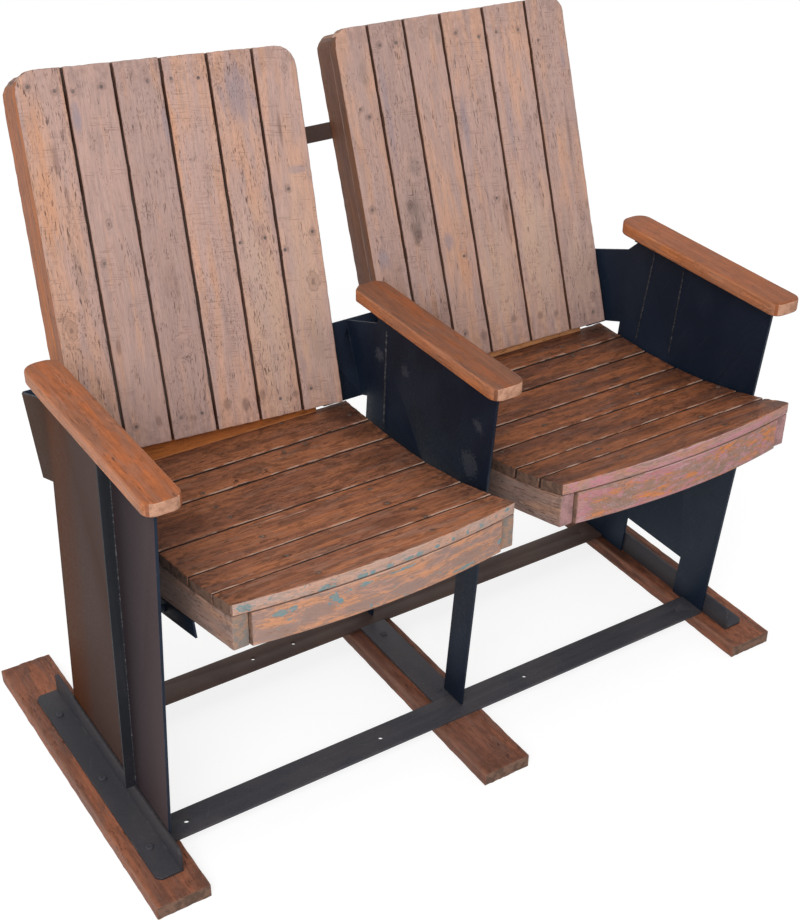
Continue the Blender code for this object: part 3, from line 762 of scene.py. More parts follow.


# The back slats' darker edge colour paints shade along the gaps between them.
BACK_TEAK = TeakFinish(
    ground=shade(191, 157, 146), warm=shade(204, 160, 138), silver=shade(176, 150, 144),
    crack=shade(92, 72, 66), edge=shade(146, 112, 96), contrast=0.08, line=0.0012, edge_share=0.45,
    edge_width=0.0012, smudge=0.26, stain=0.42,
)
# Painted shade: a darker copy of the back teak for the slat sides that face into the gaps.
PAINTED_SHADE_GAP_TEAK = replace(
    BACK_TEAK, ground=shade(96, 68, 56), warm=shade(104, 72, 56), silver=shade(88, 68, 60),
    crack=shade(40, 30, 26), edge=shade(96, 68, 56),
)
LEFT_SIDE_TEAK = replace(
    BACK_TEAK, ground=shade(170, 112, 84), warm=shade(180, 112, 72), silver=shade(140, 98, 80),
    crack=shade(74, 48, 38), edge=shade(120, 78, 58), contrast=0.12,
)
RIGHT_SIDE_TEAK = replace(
    LEFT_SIDE_TEAK, ground=shade(116, 82, 68), warm=shade(126, 84, 60), silver=shade(100, 76, 68),
)
# The seat slats' darker edge colour paints shade along the gaps between them, also on the right seat's copy.
SEAT_TEAK = TeakFinish(
    ground=shade(146, 94, 70), warm=shade(170, 108, 74), silver=shade(148, 114, 98),
    crack=shade(46, 30, 25), edge=shade(100, 72, 60), contrast=0.20, line=0.0012, edge_share=0.30,
    edge_width=0.0012, front_dust=0.60, deep=0.36, smudge=0.7, stain=0.6, roughness=0.58, scratches=0.26,
)
RIGHT_SEAT_TEAK = replace(
    SEAT_TEAK, ground=shade(126, 80, 60), warm=shade(162, 100, 66), silver=shade(122, 94, 84),
)
# Painted shade: a darker copy of the seat teak for the slat sides that face into the gaps.
PAINTED_SHADE_SEAT_GAP_TEAK = replace(
    SEAT_TEAK, ground=shade(58, 46, 42), warm=shade(72, 54, 46), silver=shade(70, 62, 62),
    edge=shade(44, 34, 30), front_dust=0.0, deep=0.0,
)
RAIL_TEAK = TeakFinish(
    ground=shade(118, 94, 84), warm=shade(134, 100, 82), silver=shade(106, 92, 88),
    crack=shade(52, 38, 34), edge=shade(142, 114, 102), contrast=0.16, smudge=0.4,
)
# Painted light: a lighter copy of the rail teak for the seats' side rails, making up for the shade that the
# arms and panels cast on them.
PAINTED_LIGHT_SEAT_SIDE_TEAK = replace(
    RAIL_TEAK, ground=shade(160, 130, 118), warm=shade(174, 134, 112), silver=shade(142, 124, 118),
    crack=shade(66, 48, 42), line=0.0013, contrast=0.20,
)
ARM_TEAK = TeakFinish(
    ground=shade(158, 100, 70), warm=shade(174, 98, 54), silver=shade(142, 100, 82),
    crack=shade(96, 56, 38), edge=shade(186, 128, 96), contrast=0.19, line=0.0013,
    edge_width=0.0020, edge_share=0.4, smudge=0.20, deep=0.18, roughness=0.50, gloss=0.28,
)
# Painted light: a lighter copy of the arm teak for the armrests' left-facing sides.
PAINTED_LIGHT_ARM_SIDE_TEAK = replace(
    ARM_TEAK, ground=shade(184, 118, 82), warm=shade(194, 120, 74), silver=shade(166, 120, 96),
    edge_share=0.2, deep=0.10,
)
SKID_TEAK = TeakFinish(
    ground=shade(134, 88, 70), warm=shade(158, 98, 72), silver=shade(126, 95, 84),
    crack=shade(56, 34, 27), edge=shade(150, 116, 98), contrast=0.18, line=0.0018,
    edge_share=0.30, smudge=0.4, deep=0.25, roughness=0.62,
)
LEFT_STRIP_TEAK = TeakFinish(
    ground=shade(168, 98, 48), warm=shade(178, 104, 48), silver=shade(146, 90, 56),
    crack=shade(104, 66, 40), edge=shade(190, 130, 86), contrast=0.08, smudge=0.2,
)
RIGHT_STRIP_TEAK = replace(
    LEFT_STRIP_TEAK, ground=shade(234, 170, 120), warm=shade(238, 172, 112), silver=shade(210, 150, 108),
)
BACK_END = EndGrainFinish(shade(176, 138, 120), shade(150, 114, 98), shade(116, 90, 78))
PALE_END = EndGrainFinish(shade(206, 158, 132), shade(188, 136, 106), shade(160, 116, 94))
BROWN_END = EndGrainFinish(shade(134, 104, 88), shade(112, 84, 70), shade(86, 68, 60))
TURQUOISE_FRONT = PaintFinish(
    wood=shade(190, 144, 124), warm=shade(206, 148, 114), grey=shade(140, 124, 120),
    dark=shade(112, 84, 72), paint=shade(100, 148, 158), second=shade(124, 148, 148),
    pale=shade(206, 174, 156), cover=0.10, warm_share=0.5, grey_share=0.46, rims=0.35,
    patches=((-0.011, -0.146, 0.005, 0.009), (-0.013, -0.130, 0.004, 0.005), (-0.014, -0.078, 0.008, 0.006),
             (-0.006, -0.070, 0.005, 0.004), (-0.008, 0.194, 0.012, 0.004), (0.019, 0.115, 0.003, 0.018),
             (0.010, 0.180, 0.004, 0.010), (-0.021, 0.020, 0.002, 0.020), (-0.019, -0.034, 0.003, 0.010)),
    stains=((0.000, -0.097, 0.010, 0.024), (0.016, -0.150, 0.010, 0.030), (0.012, -0.040, 0.008, 0.030),
            (0.002, -0.185, 0.020, 0.008), (0.012, 0.030, 0.006, 0.030), (0.006, 0.120, 0.010, 0.030)),
)
TURQUOISE_LIP = replace(
    TURQUOISE_FRONT, wood=shade(196, 162, 148), warm=shade(200, 158, 138), grey=shade(162, 146, 138),
    cover=0.16, grey_share=0.36, flake=(0.004, 0.006, 0.004),
    patches=((0.003, -0.188, 0.005, 0.010), (0.003, -0.089, 0.006, 0.008), (0.003, -0.078, 0.004, 0.004),
             (0.002, -0.040, 0.005, 0.008), (0.001, -0.026, 0.004, 0.004), (0.001, -0.002, 0.004, 0.006),
             (0.000, 0.026, 0.003, 0.008), (0.000, 0.042, 0.003, 0.006), (0.000, 0.069, 0.003, 0.004),
             (0.000, 0.095, 0.003, 0.003), (0.000, 0.118, 0.003, 0.003), (0.002, 0.142, 0.003, 0.003),
             (0.000, 0.189, 0.003, 0.005)),
    stains=(),
)
PINK_FRONT = PaintFinish(
    wood=shade(172, 126, 106), warm=shade(208, 132, 80), grey=shade(140, 120, 110),
    dark=shade(112, 84, 84), paint=shade(184, 124, 134), second=shade(188, 140, 138),
    pale=shade(202, 168, 178), cover=0.36, warm_share=0.42, grey_share=0.50, curls=0.55, rims=0.60,
    flake=(0.009, 0.016, 0.009),
    patches=((0.010, -0.180, 0.020, 0.020), (0.000, 0.192, 0.030, 0.016), (-0.020, -0.050, 0.005, 0.060),
             (0.022, -0.040, 0.004, 0.100), (-0.014, -0.155, 0.006, 0.030)),
    stains=((0.008, -0.115, 0.012, 0.022), (0.006, -0.170, 0.010, 0.014), (0.010, 0.060, 0.010, 0.030)),
)
PINK_LIP = replace(
    PINK_FRONT, wood=shade(184, 142, 130), warm=shade(192, 138, 116), paint=shade(196, 130, 146),
    second=shade(192, 142, 142), cover=0.34, grey_share=0.34, curls=0.2, rims=0.2,
    flake=(0.005, 0.014, 0.005),
    patches=((0.002, -0.150, 0.008, 0.020), (0.004, -0.040, 0.006, 0.040), (0.000, 0.100, 0.005, 0.060)),
    stains=(),
)
TURQUOISE_END = EndGrainFinish(shade(176, 138, 116), shade(150, 126, 110), shade(122, 126, 126))
PINK_END = EndGrainFinish(shade(184, 142, 142), shade(172, 124, 122), shade(140, 112, 108))
BLACK_STEEL = SteelFinish(shade(18, 28, 44), shade(25, 36, 52), shade(76, 80, 90), specks=0.20,
                          scratches=0.16)
RIB_STEEL = SteelFinish(shade(30, 32, 38), shade(38, 39, 44), shade(96, 96, 98), specks=0.55)
SCUFFED_STEEL = replace(
    BLACK_STEEL, scratches=0.34, specks=0.45,
    scuffs=((-0.155, 0.471, 0.020), (0.006, 0.519, 0.012), (-0.170, 0.538, 0.012), (0.074, 0.510, 0.010)),
)
RUBBED_STEEL = replace(
    BLACK_STEEL, base=shade(20, 32, 48), scratches=0.28, specks=0.35,
    scuffs=((-0.054, 0.471, 0.016), (-0.215, 0.489, 0.014), (0.035, 0.439, 0.016)),
)
STRIPED_STEEL = SteelFinish(
    shade(66, 62, 66), shade(88, 72, 62), shade(104, 92, 86), specks=0.22, scratches=0.14, gloss=0.03,
    stripes=(
        (-1.00, shade(66, 42, 28)), (-0.62, shade(63, 41, 28)), (-0.50, shade(82, 46, 25)),
        (-0.30, shade(78, 47, 32)), (-0.15, shade(73, 54, 48)), (0.30, shade(76, 58, 53)),
        (0.38, shade(56, 46, 48)), (0.50, shade(46, 39, 43)), (0.70, shade(58, 48, 51)),
        (0.90, shade(71, 60, 62)), (1.00, shade(75, 63, 65)),
    ),
)
RAIL_STEEL = SteelFinish(shade(64, 64, 70), shade(74, 71, 75), shade(120, 116, 116), specks=0.4)
BROWN_RAIL_STEEL = SteelFinish(shade(78, 62, 57), shade(88, 70, 63), shade(118, 108, 102), specks=0.35)
IRON_STEEL = SteelFinish(shade(54, 53, 58), shade(62, 59, 62), shade(108, 105, 105), specks=0.45)
WELD_STEEL = SteelFinish(shade(34, 36, 42), shade(52, 52, 56), shade(108, 106, 106), bare=0.30)
SCREW_STEEL = SteelFinish(shade(72, 60, 54), shade(96, 80, 70), shade(150, 136, 126), bare=0.35,
                          roughness=0.42, gloss=0.5)
NAIL_STEEL = SteelFinish(shade(108, 94, 92), shade(128, 110, 104), shade(150, 136, 128), bare=0.3,
                         roughness=0.7)


def choose(*pieces: bpy.types.Object) -> None:
    """Selects some pieces only.

    Args:
        pieces: The pieces, the first of which becomes the active one.
    """
    bpy.ops.object.select_all(action="DESELECT")
    for piece in pieces:
        piece.select_set(True)
    bpy.context.view_layer.objects.active = pieces[0]


@contextmanager
def editing(piece: bpy.types.Object) -> Iterator[None]:
    """Opens a piece in edit mode with all of it selected.

    Args:
        piece: The piece to shape.

    Yields:
        Nothing; the operators act on the open piece.
    """
    choose(piece)
    bpy.ops.object.mode_set(mode="EDIT")
    bpy.ops.mesh.select_all(action="SELECT")
    yield
    bpy.ops.object.mode_set(mode="OBJECT")


def link(piece: bpy.types.Object) -> None:
    """Puts an object into the scene."""
    bpy.context.scene.collection.objects.link(piece)


def apply_all(piece: bpy.types.Object) -> None:
    """Applies every modifier of a piece.

    Args:
        piece: The piece.
    """
    choose(piece)
    for modifier in list(piece.modifiers):
        bpy.ops.object.modifier_apply(modifier=modifier.name)


def settle(piece: bpy.types.Object) -> None:
    """Puts a piece's place into its mesh."""
    choose(piece)
    bpy.ops.object.transform_apply(location=True, rotation=True, scale=True)


def lift(node: str, suffix: str) -> bpy.types.Object:
    """Copies a node's mesh into a new piece, with its corners merged and its flats whole.

    Args:
        node: The node's name.
        suffix: What the new piece's name adds.

    Returns:
        The new piece.
    """
    piece = bpy.data.objects.new(node + suffix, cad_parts[node].data.copy())
    link(piece)
    piece.data.materials.clear()
    with editing(piece):
        bpy.ops.mesh.customdata_custom_splitnormals_clear()
        bpy.ops.mesh.remove_doubles(threshold=MERGE)
        bpy.ops.mesh.dissolve_limited(angle_limit=FLAT)
    return piece


def round_edges(piece: bpy.types.Object, width: float, turn: float, slot: int = -1) -> None:
    """Rounds a piece's sharper edges.

    Args:
        piece: The piece.
        width: How wide the rounding is.
        turn: The least turn of an edge that is rounded, in radians.
        slot: The rounding's material, or -1 for that of the faces beside it.
    """
    modifier = piece.modifiers.new("rounded_edges", "BEVEL")
    modifier.width = width
    modifier.segments = 2
    modifier.limit_method = "ANGLE"
    modifier.angle_limit = turn
    modifier.material = slot
    apply_all(piece)


def slice_board(place: Place, axis: int, step: float) -> None:
    """Cuts the open mesh by planes square to one axis of its board.

    Args:
        place: The board's own axes.
        axis: 0 for across, 1 for along and 2 for out.
        step: The distance between the planes.
    """
    normal = place.axes.col[axis]
    reach = place.half[axis]
    count = max(1, round(2 * reach / step))
    for index in range(1, count):
        offset = reach * (2 * index / count - 1)
        bpy.ops.mesh.select_all(action="SELECT")
        bpy.ops.mesh.bisect(plane_co=place.centre + normal * offset, plane_no=normal)


def weather(piece: bpy.types.Object, place: Place, size: Sizes, strength: float, seed: float,
            group: str = "", level: float = 0.5) -> None:
    """Moves a surface in and out by a noise that follows the piece's grain.

    Args:
        piece: The piece to wear.
        place: The piece's own axes.
        size: The noise's size across, along and out.
        strength: How far the surface moves between the noise's ends.
        seed: Picks another part of the noise.
        group: The vertex group to keep to, or nothing for all of it.
        level: The noise's value that moves nothing.
    """
    choose(piece)
    guide = bpy.data.objects.new("guide", None)
    link(guide)
    spot = place.point(*(seed * step % 1.0 for step in GUIDE_STEPS))
    guide.matrix_world = Matrix.Translation(spot) @ place.axes.to_4x4() @ Matrix.Diagonal((*size, 1.0))
    texture = bpy.data.textures.new("unevenness", "CLOUDS")
    texture.noise_scale = 1.0
    texture.noise_depth = 2
    modifier = piece.modifiers.new("unevenness", "DISPLACE")
    modifier.texture = texture
    modifier.texture_coords = "OBJECT"
    modifier.texture_coords_object = guide
    modifier.strength = strength
    modifier.mid_level = level
    modifier.vertex_group = group
    bpy.context.view_layer.update()
    apply_all(piece)
    bpy.data.objects.remove(guide)
    bpy.data.textures.remove(texture)


def mark_edges(piece: bpy.types.Object, turn: float) -> str:
    """Puts the corners where a piece's faces turn sharply into a vertex group.

    Args:
        piece: The piece.
        turn: The least turn between neighbouring faces, in radians.

    Returns:
        The group's name.
    """
    group = piece.vertex_groups.new(name="edges")
    work = bmesh.new()
    work.from_mesh(piece.data)
    sharp = {v.index for e in work.edges if e.calc_face_angle(0.0) > turn for v in e.verts}
    work.free()
    group.add(list(sharp), 1.0, "REPLACE")
    return group.name


def hand_over(piece: bpy.types.Object, body: Body,
              nodes: tuple[str, ...] = ()) -> bpy.types.Object:
    """Smooths a piece's shading, puts it on the body that it rides on and hides the nodes that it stands for.

    Args:
        piece: The finished piece.
        body: The body that it rides on.
        nodes: The nodes that it stands for.

    Returns:
        The same piece.
    """
    choose(piece)
    bpy.ops.object.shade_smooth_by_angle(angle=CREASE)
    piece.vertex_groups.clear()
    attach(piece, body.value)
    if nodes:
        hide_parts(*nodes)
    log.info("%s rides on %s", piece.name, body.value)
    return piece


def landed(piece: bpy.types.Object, start: Vector, way: Vector) -> list[Spot]:
    """Finds where a straight line meets a piece.

    Args:
        piece: The piece, whose place is in its mesh.
        start: Where the line starts.
        way: The line's direction.

    Returns:
        The spot with the direction that looks back along the line, or nothing where it misses.
    """
    bpy.context.view_layer.update()
    met, spot, _, _ = piece.ray_cast(start, way)
    return [(spot.copy(), -way)] if met else []


def dress_faces(piece: bpy.types.Object, material: bpy.types.Material,
                wanted: Callable[[bpy.types.MeshPolygon], bool]) -> None:
    """Adds a material to a piece and gives it to some of the faces.

    Args:
        piece: The piece.
        material: The material.
        wanted: Tells of each face whether it gets the material.
    """
    piece.data.materials.append(material)
    slot = len(piece.data.materials) - 1
    for face in piece.data.polygons:
        if wanted(face):
            face.material_index = slot


def gather(name: str, pattern: bpy.types.Object, places: list[Matrix]) -> bpy.types.Object:
    """Copies a small shape to many places and joins the copies into one piece.

    Args:
        name: The new piece's name.
        pattern: The shape, which is used up.
        places: Where the copies go.

    Returns:
        The joined piece.
    """
    copies = []
    for place in places:
        copy = bpy.data.objects.new(name, pattern.data.copy())
        link(copy)
        copy.matrix_world = place
        copies.append(copy)
    bpy.data.objects.remove(pattern)
    bpy.context.view_layer.update()
    choose(*copies)
    bpy.ops.object.join()
    piece = bpy.context.object
    settle(piece)
    return piece


def plain_place() -> Place:
    """Gives the frame's own axes."""
    return Place(Vector(), Matrix.Identity(3), Vector((0.5, 0.5, 0.5)))


@dataclass
class Fasteners:
    """Screw or nail heads of one size on one body."""

    name: str
    body: Body
    spots: list[Spot]
    finish: SteelFinish
    radius: float
    proud: float
    recess: float
    seed: int
    sides: int = 14
    rounded: float = 0.6
    rim: float = 0.38
    wall: float = 0.06

    def build(self) -> None:
        """Shapes one head and puts it on every spot."""
        bpy.ops.mesh.primitive_cylinder_add(vertices=self.sides, radius=self.radius, depth=self.proud * 2)
        head = bpy.context.object
        with editing(head):
            work = bmesh.from_edit_mesh(head.data)
            top = max(work.faces, key=lambda face: face.calc_center_median().z)
            bmesh.ops.bevel(work, geom=list(top.edges), offset=self.proud * self.rounded, segments=2,
                            profile=0.5, affect="EDGES")
            top = max(work.faces, key=lambda face: face.calc_center_median().z)
            bmesh.ops.inset_region(work, faces=[top], thickness=self.radius * self.rim)
            bmesh.ops.inset_region(work, faces=[top], thickness=self.radius * self.wall, depth=-self.recess)
            bmesh.update_edit_mesh(head.data)
        turns = random.Random(self.seed)
        places = []
        for spot, out in self.spots:
            turn = Matrix.Rotation(turns.uniform(0.0, math.tau), 4, "Z")
            places.append(Matrix.Translation(spot) @ out.to_track_quat("Z", "Y").to_matrix().to_4x4() @ turn)
        piece = gather(self.name, head, places)
        piece.data.materials.append(self.finish.material(self.name + "_steel", plain_place(), self.seed))
        hand_over(piece, self.body)


@dataclass(frozen=True)
class Seam:
    """One weld on a panel's left face, from one point to another, as Y and Z."""

    x: float
    start: Pair
    end: Pair
    width: float = 0.0032


@dataclass
class Welds:
    """Weld beads, made of overlapping scales."""

    seams: tuple[Seam, ...]
    seed: int = 5
    spacing: float = 0.8
    wander: float = 0.3
    scale: Sizes = (0.45, 0.7, 0.8)

    def build(self) -> None:
        """Lays every seam as one piece."""
        chance = random.Random(self.seed)
        places = []
        for seam in self.seams:
            first, last = Vector((seam.x, *seam.start)), Vector((seam.x, *seam.end))
            length = (last - first).length
            count = max(2, round(length / (seam.width * self.spacing)))
            lie = (last - first).to_track_quat("Z", "X").to_matrix().to_4x4()
            for index in range(count + 1):
                aside, ahead = (chance.uniform(-self.wander, self.wander) for _ in range(2))
                jitter = Vector((0.0, aside, ahead)) * seam.width
                size = seam.width * chance.uniform(0.8, 1.1)
                spot = first.lerp(last, index / count) + jitter * 0.5
                shape = Matrix.Diagonal((*(size * part for part in self.scale), 1))
                places.append(Matrix.Translation(spot) @ lie @ shape)
        bpy.ops.mesh.primitive_uv_sphere_add(segments=8, ring_count=6, radius=1.0)
        piece = gather("panel_welds", bpy.context.object, places)
        piece.data.materials.append(WELD_STEEL.material("weld", plain_place(), 71.0))
        hand_over(piece, Body.FRAME)


@dataclass
class Board:
    """One wooden piece, with softened edges and an uneven, nicked surface."""

    node: str
    body: Body
    slot: str
    finish: TeakFinish
    ends: EndGrainFinish
    facing: Facing
    seed: float
    marks: Marks = Marks()
    front: PaintFinish | EndGrainFinish | None = None
    side: TeakFinish | None = None
    side_way: Vector = field(default_factory=lambda: Vector((-1.0, 0.0, 0.0)))
    grain: Vector | None = None
    across_step: float = 0.0045
    along_step: float = 0.009
    rounding: float = 0.0004
    waviness: float = 0.0006
    wave_size: Sizes = (0.05, 0.14, 0.05)
    nicks: float = 0.0018
    nick_size: Sizes = (0.008, 0.020, 0.008)
    nick_level: float = 0.62
    above: float = 0.02
    spots: list[Spot] = field(default_factory=list)

    def build(self) -> bpy.types.Object:
        """Shapes and dresses the board.

        Returns:
            The finished piece.
        """
        piece = lift(self.node, "_board")
        place = Place.measured(piece.data, self.facing, self.grain)
        round_edges(piece, self.rounding, CHAMFER_TURN)
        with editing(piece):
            slice_board(place, 0, self.across_step)
            slice_board(place, 1, self.along_step)
        weather(piece, place, self.wave_size, self.waviness, self.seed)
        group = mark_edges(piece, SHARP_TURN)
        weather(piece, place, self.nick_size, self.nicks, self.seed + 5, group, self.nick_level)
        self.dress(piece, place)
        start = place.half.z + self.above
        for across, along in self.marks.fixings:
            self.spots += landed(piece, place.point(across, along, start), -place.axes.col[2])
        return hand_over(piece, self.body, (self.node,))

    def dress(self, piece: bpy.types.Object, place: Place) -> None:
        """Gives the faces, the sawn ends and a painted front their materials.

        Args:
            piece: The board's piece.
            place: The board's own axes.
        """
        wood = self.finish.material(self.node + "_wood", place, self.seed, self.marks)
        dress_faces(piece, wood, lambda face: True)
        along = place.axes.col[1]
        end = self.ends.material(self.node + "_end", place, self.seed)
        dress_faces(piece, end, lambda face: abs(face.normal.dot(along)) > ENDWISE)
        if self.side is not None:
            side = self.side.material(self.node + "_side", self.side_place(place), self.seed, Marks())
            dress_faces(piece, side, lambda face: face.normal.dot(self.side_way) > SIDEWISE)
        if self.front is not None:
            front = self.front.material(self.node + "_front", self.front_place(piece), self.seed)
            dress_faces(piece, front, lambda face: face.normal.y < -SIDEWISE)

    def side_place(self, place: Place) -> Place:
        """Turns the board's axes so that Z looks out of the side with its own finish.

        Args:
            place: The board's own axes.

        Returns:
            The side's axes.
        """
        across, along, _ = place.axes.col
        outward = across * math.copysign(1.0, across.dot(self.side_way))
        return Place(place.centre, Matrix((along.cross(outward), along, outward)).transposed(),
                     Vector((place.half.z, place.half.y, place.half.x)))

    def front_place(self, piece: bpy.types.Object) -> Place:
        """Measures the front.

        Args:
            piece: The board's piece.

        Returns:
            The front's axes, with X down it and Y to the right.
        """
        faces = [face for face in piece.data.polygons if face.normal.y < -SIDEWISE]
        low, high = corners([piece.data.vertices[index].co for face in faces for index in face.vertices])
        half = (high - low) / 2
        axes = Matrix(((0, 0, -1), (1, 0, 0), (0, -1, 0))).transposed()
        return Place((low + high) / 2, axes, Vector((half.z, half.x, half.y)))


@dataclass
class SteelPart:
    """One steel piece with broken edges that show paler metal."""

    node: str
    body: Body
    finish: SteelFinish
    facing: Facing
    seed: float
    edge: float = 0.0006
    worn: float = 0.20
    outer: SteelFinish | None = None
    rib: SteelFinish | None = None
    rib_from: float = -0.4812

    def build(self) -> bpy.types.Object:
        """Shapes and dresses the part.

        Returns:
            The finished piece.
        """
        piece = lift(self.node, "_steel")
        place = Place.measured(piece.data, self.facing)
        materials = piece.data.materials
        materials.append(self.finish.material(self.node + "_face", place, self.seed))
        materials.append(self.finish.material(self.node + "_edge", place, self.seed, self.worn))
        round_edges(piece, self.edge, PLATE_TURN, 1)
        if self.outer is not None and self.rib is not None:
            self.dress_outside(piece, place)
        return hand_over(piece, self.body, (self.node,))

    def dress_outside(self, piece: bpy.types.Object, place: Place) -> None:
        """Gives the outer face and the rib on it their own materials.

        Args:
            piece: The part's piece.
            place: The part's own axes.
        """
        outer = self.outer.material(self.node + "_outer", place, self.seed)
        dress_faces(piece, outer, lambda face: face.normal.x < -SIDEWISE and face.material_index == 0)
        rib = self.rib.material(self.node + "_rib", place, self.seed)
        dress_faces(piece, rib, lambda face: face.center.x < self.rib_from)


@dataclass
class Studio:
    """The floor, the soft light and the camera."""

    camera_place: Vector = field(default_factory=lambda: Vector((-1.0252, -1.60362, 1.5740)))
    camera_aim: Vector = field(default_factory=lambda: Vector((0.0175, -0.05482, 0.3561)))
    camera_roll: float = 0.021
    focal_mm: float = 60.44
    shift: Pair = (-0.0251, 0.0255)
    key_place: Vector = field(default_factory=lambda: Vector((-2.2, -2.6, 3.0)))
    key_size: float = 2.4
    key_watts: float = 95.0
    sky: float = 0.62
    floor_size: float = 40.0
    floor_lit: float = 0.75
    floor_seen: float = 0.30
    floor_glow: float = 0.80
    aim_height: float = 0.4

    def build(self) -> None:
        """Sets up everything that isn't the bench."""
        self.set_camera()
        self.hang_lamp()
        self.light_sky()
        self.lay_floor()
        bpy.context.scene.view_settings.view_transform = "Standard"

    def set_camera(self) -> None:
        """Places the camera at the photograph's angle."""
        ahead = (self.camera_aim - self.camera_place).normalized()
        right = ahead.cross(Vector((0, 0, 1))).normalized()
        above = right.cross(ahead)
        cos, sin = math.cos(self.camera_roll), math.sin(self.camera_roll)
        turned = Matrix((right * cos + above * sin, above * cos - right * sin, -ahead)).transposed()
        data = bpy.data.cameras.new("camera")
        data.lens = self.focal_mm
        data.shift_x, data.shift_y = self.shift
        camera = bpy.data.objects.new("camera", data)
        camera.matrix_world = Matrix.Translation(self.camera_place) @ turned.to_4x4()
        link(camera)
        bpy.context.scene.camera = camera

    def hang_lamp(self) -> None:
        """Hangs one large soft lamp in front of the bench."""
        data = bpy.data.lights.new("soft_lamp", "AREA")
        data.size = self.key_size
        data.energy = self.key_watts
        lamp = bpy.data.objects.new("soft_lamp", data)
        aim = Vector((0.0, 0.0, self.aim_height)) - self.key_place
        turned = aim.to_track_quat("-Z", "Y").to_matrix().to_4x4()
        lamp.matrix_world = Matrix.Translation(self.key_place) @ turned
        link(lamp)

    def light_sky(self) -> None:
        """Surrounds the bench with even light, white where it is seen or mirrored."""
        world = bpy.data.worlds.new("sky")
        world.use_nodes = True
        tree = world.node_tree
        shader = tree.nodes["Background"]
        rays = add_node(tree, "ShaderNodeLightPath").outputs
        seen = rays["Is Camera Ray"]
        for name in ("Is Transmission Ray", "Is Glossy Ray"):
            seen = add_node(tree, "ShaderNodeMath", {0: seen, 1: rays[name]}, operation="MAXIMUM").outputs[0]
        level = add_node(tree, "ShaderNodeMapRange", {"Value": seen, "To Min": self.sky, "To Max": 1.0})
        feed(tree, shader.inputs["Strength"], level.outputs[0])
        feed(tree, shader.inputs["Color"], (1.0, 1.0, 1.0))
        bpy.context.scene.world = world

    def lay_floor(self) -> None:
        """Lays a white floor that keeps a soft shadow."""
        bpy.ops.mesh.primitive_plane_add(size=self.floor_size, location=(0.0, 0.0, 0.0))
        floor = bpy.context.object
        floor.name = "floor"
        material = bpy.data.materials.new("floor")
        material.use_nodes = True
        tree = material.node_tree
        tree.nodes.clear()
        rays = add_node(tree, "ShaderNodeLightPath").outputs
        rays = {0: rays["Is Camera Ray"], 1: rays["Is Glossy Ray"]}
        seen = add_node(tree, "ShaderNodeMath", rays, operation="MAXIMUM").outputs[0]
        pale = add_node(tree, "ShaderNodeMapRange", {
            "Value": seen, "To Min": self.floor_lit, "To Max": self.floor_seen,
        })
        ground = add_node(tree, "ShaderNodeBsdfDiffuse", {"Color": pale.outputs[0]})
        share = add_node(tree, "ShaderNodeMath", {0: seen, 1: self.floor_glow}, operation="MULTIPLY")
        glow = add_node(tree, "ShaderNodeEmission", {"Strength": share.outputs[0]})
        both = add_node(tree, "ShaderNodeAddShader", {0: ground.outputs[0], 1: glow.outputs[0]})
        add_node(tree, "ShaderNodeOutputMaterial", {"Surface": both.outputs[0]})
        floor.data.materials.append(material)


@dataclass
class Skids:
    """The three teak skids that the bench stands on."""

    marks: dict[str, Marks] = field(default_factory=lambda: {
        "left": Marks(warm=0.5, silver=0.3, cracks=0.5, pits=0.2),
        "centre": Marks(warm=0.35, silver=0.3, cracks=0.5, pits=0.2,
                        patches=(Patch(0.0, 0.12, 0.08, 0.24, StainAndLightTint.BROWN, 0.55),)),
        # The brown patch along the rear of the right skid is a painted shadow under the bench.
        "right": Marks(warm=0.7, silver=0.1, cracks=0.6, pits=0.2,
                       patches=(Patch(0.0, 0.14, 0.08, 0.30, StainAndLightTint.BROWN, 0.85),)),
    })

    def build(self) -> None:
        """Builds the skids."""
        for number, (side, marks) in enumerate(self.marks.items()):
            Board(side + "_skid", Body.FRAME, "teak_skid", SKID_TEAK, BROWN_END, Facing.UP,
                  3.0 + 2 * number, marks).build()


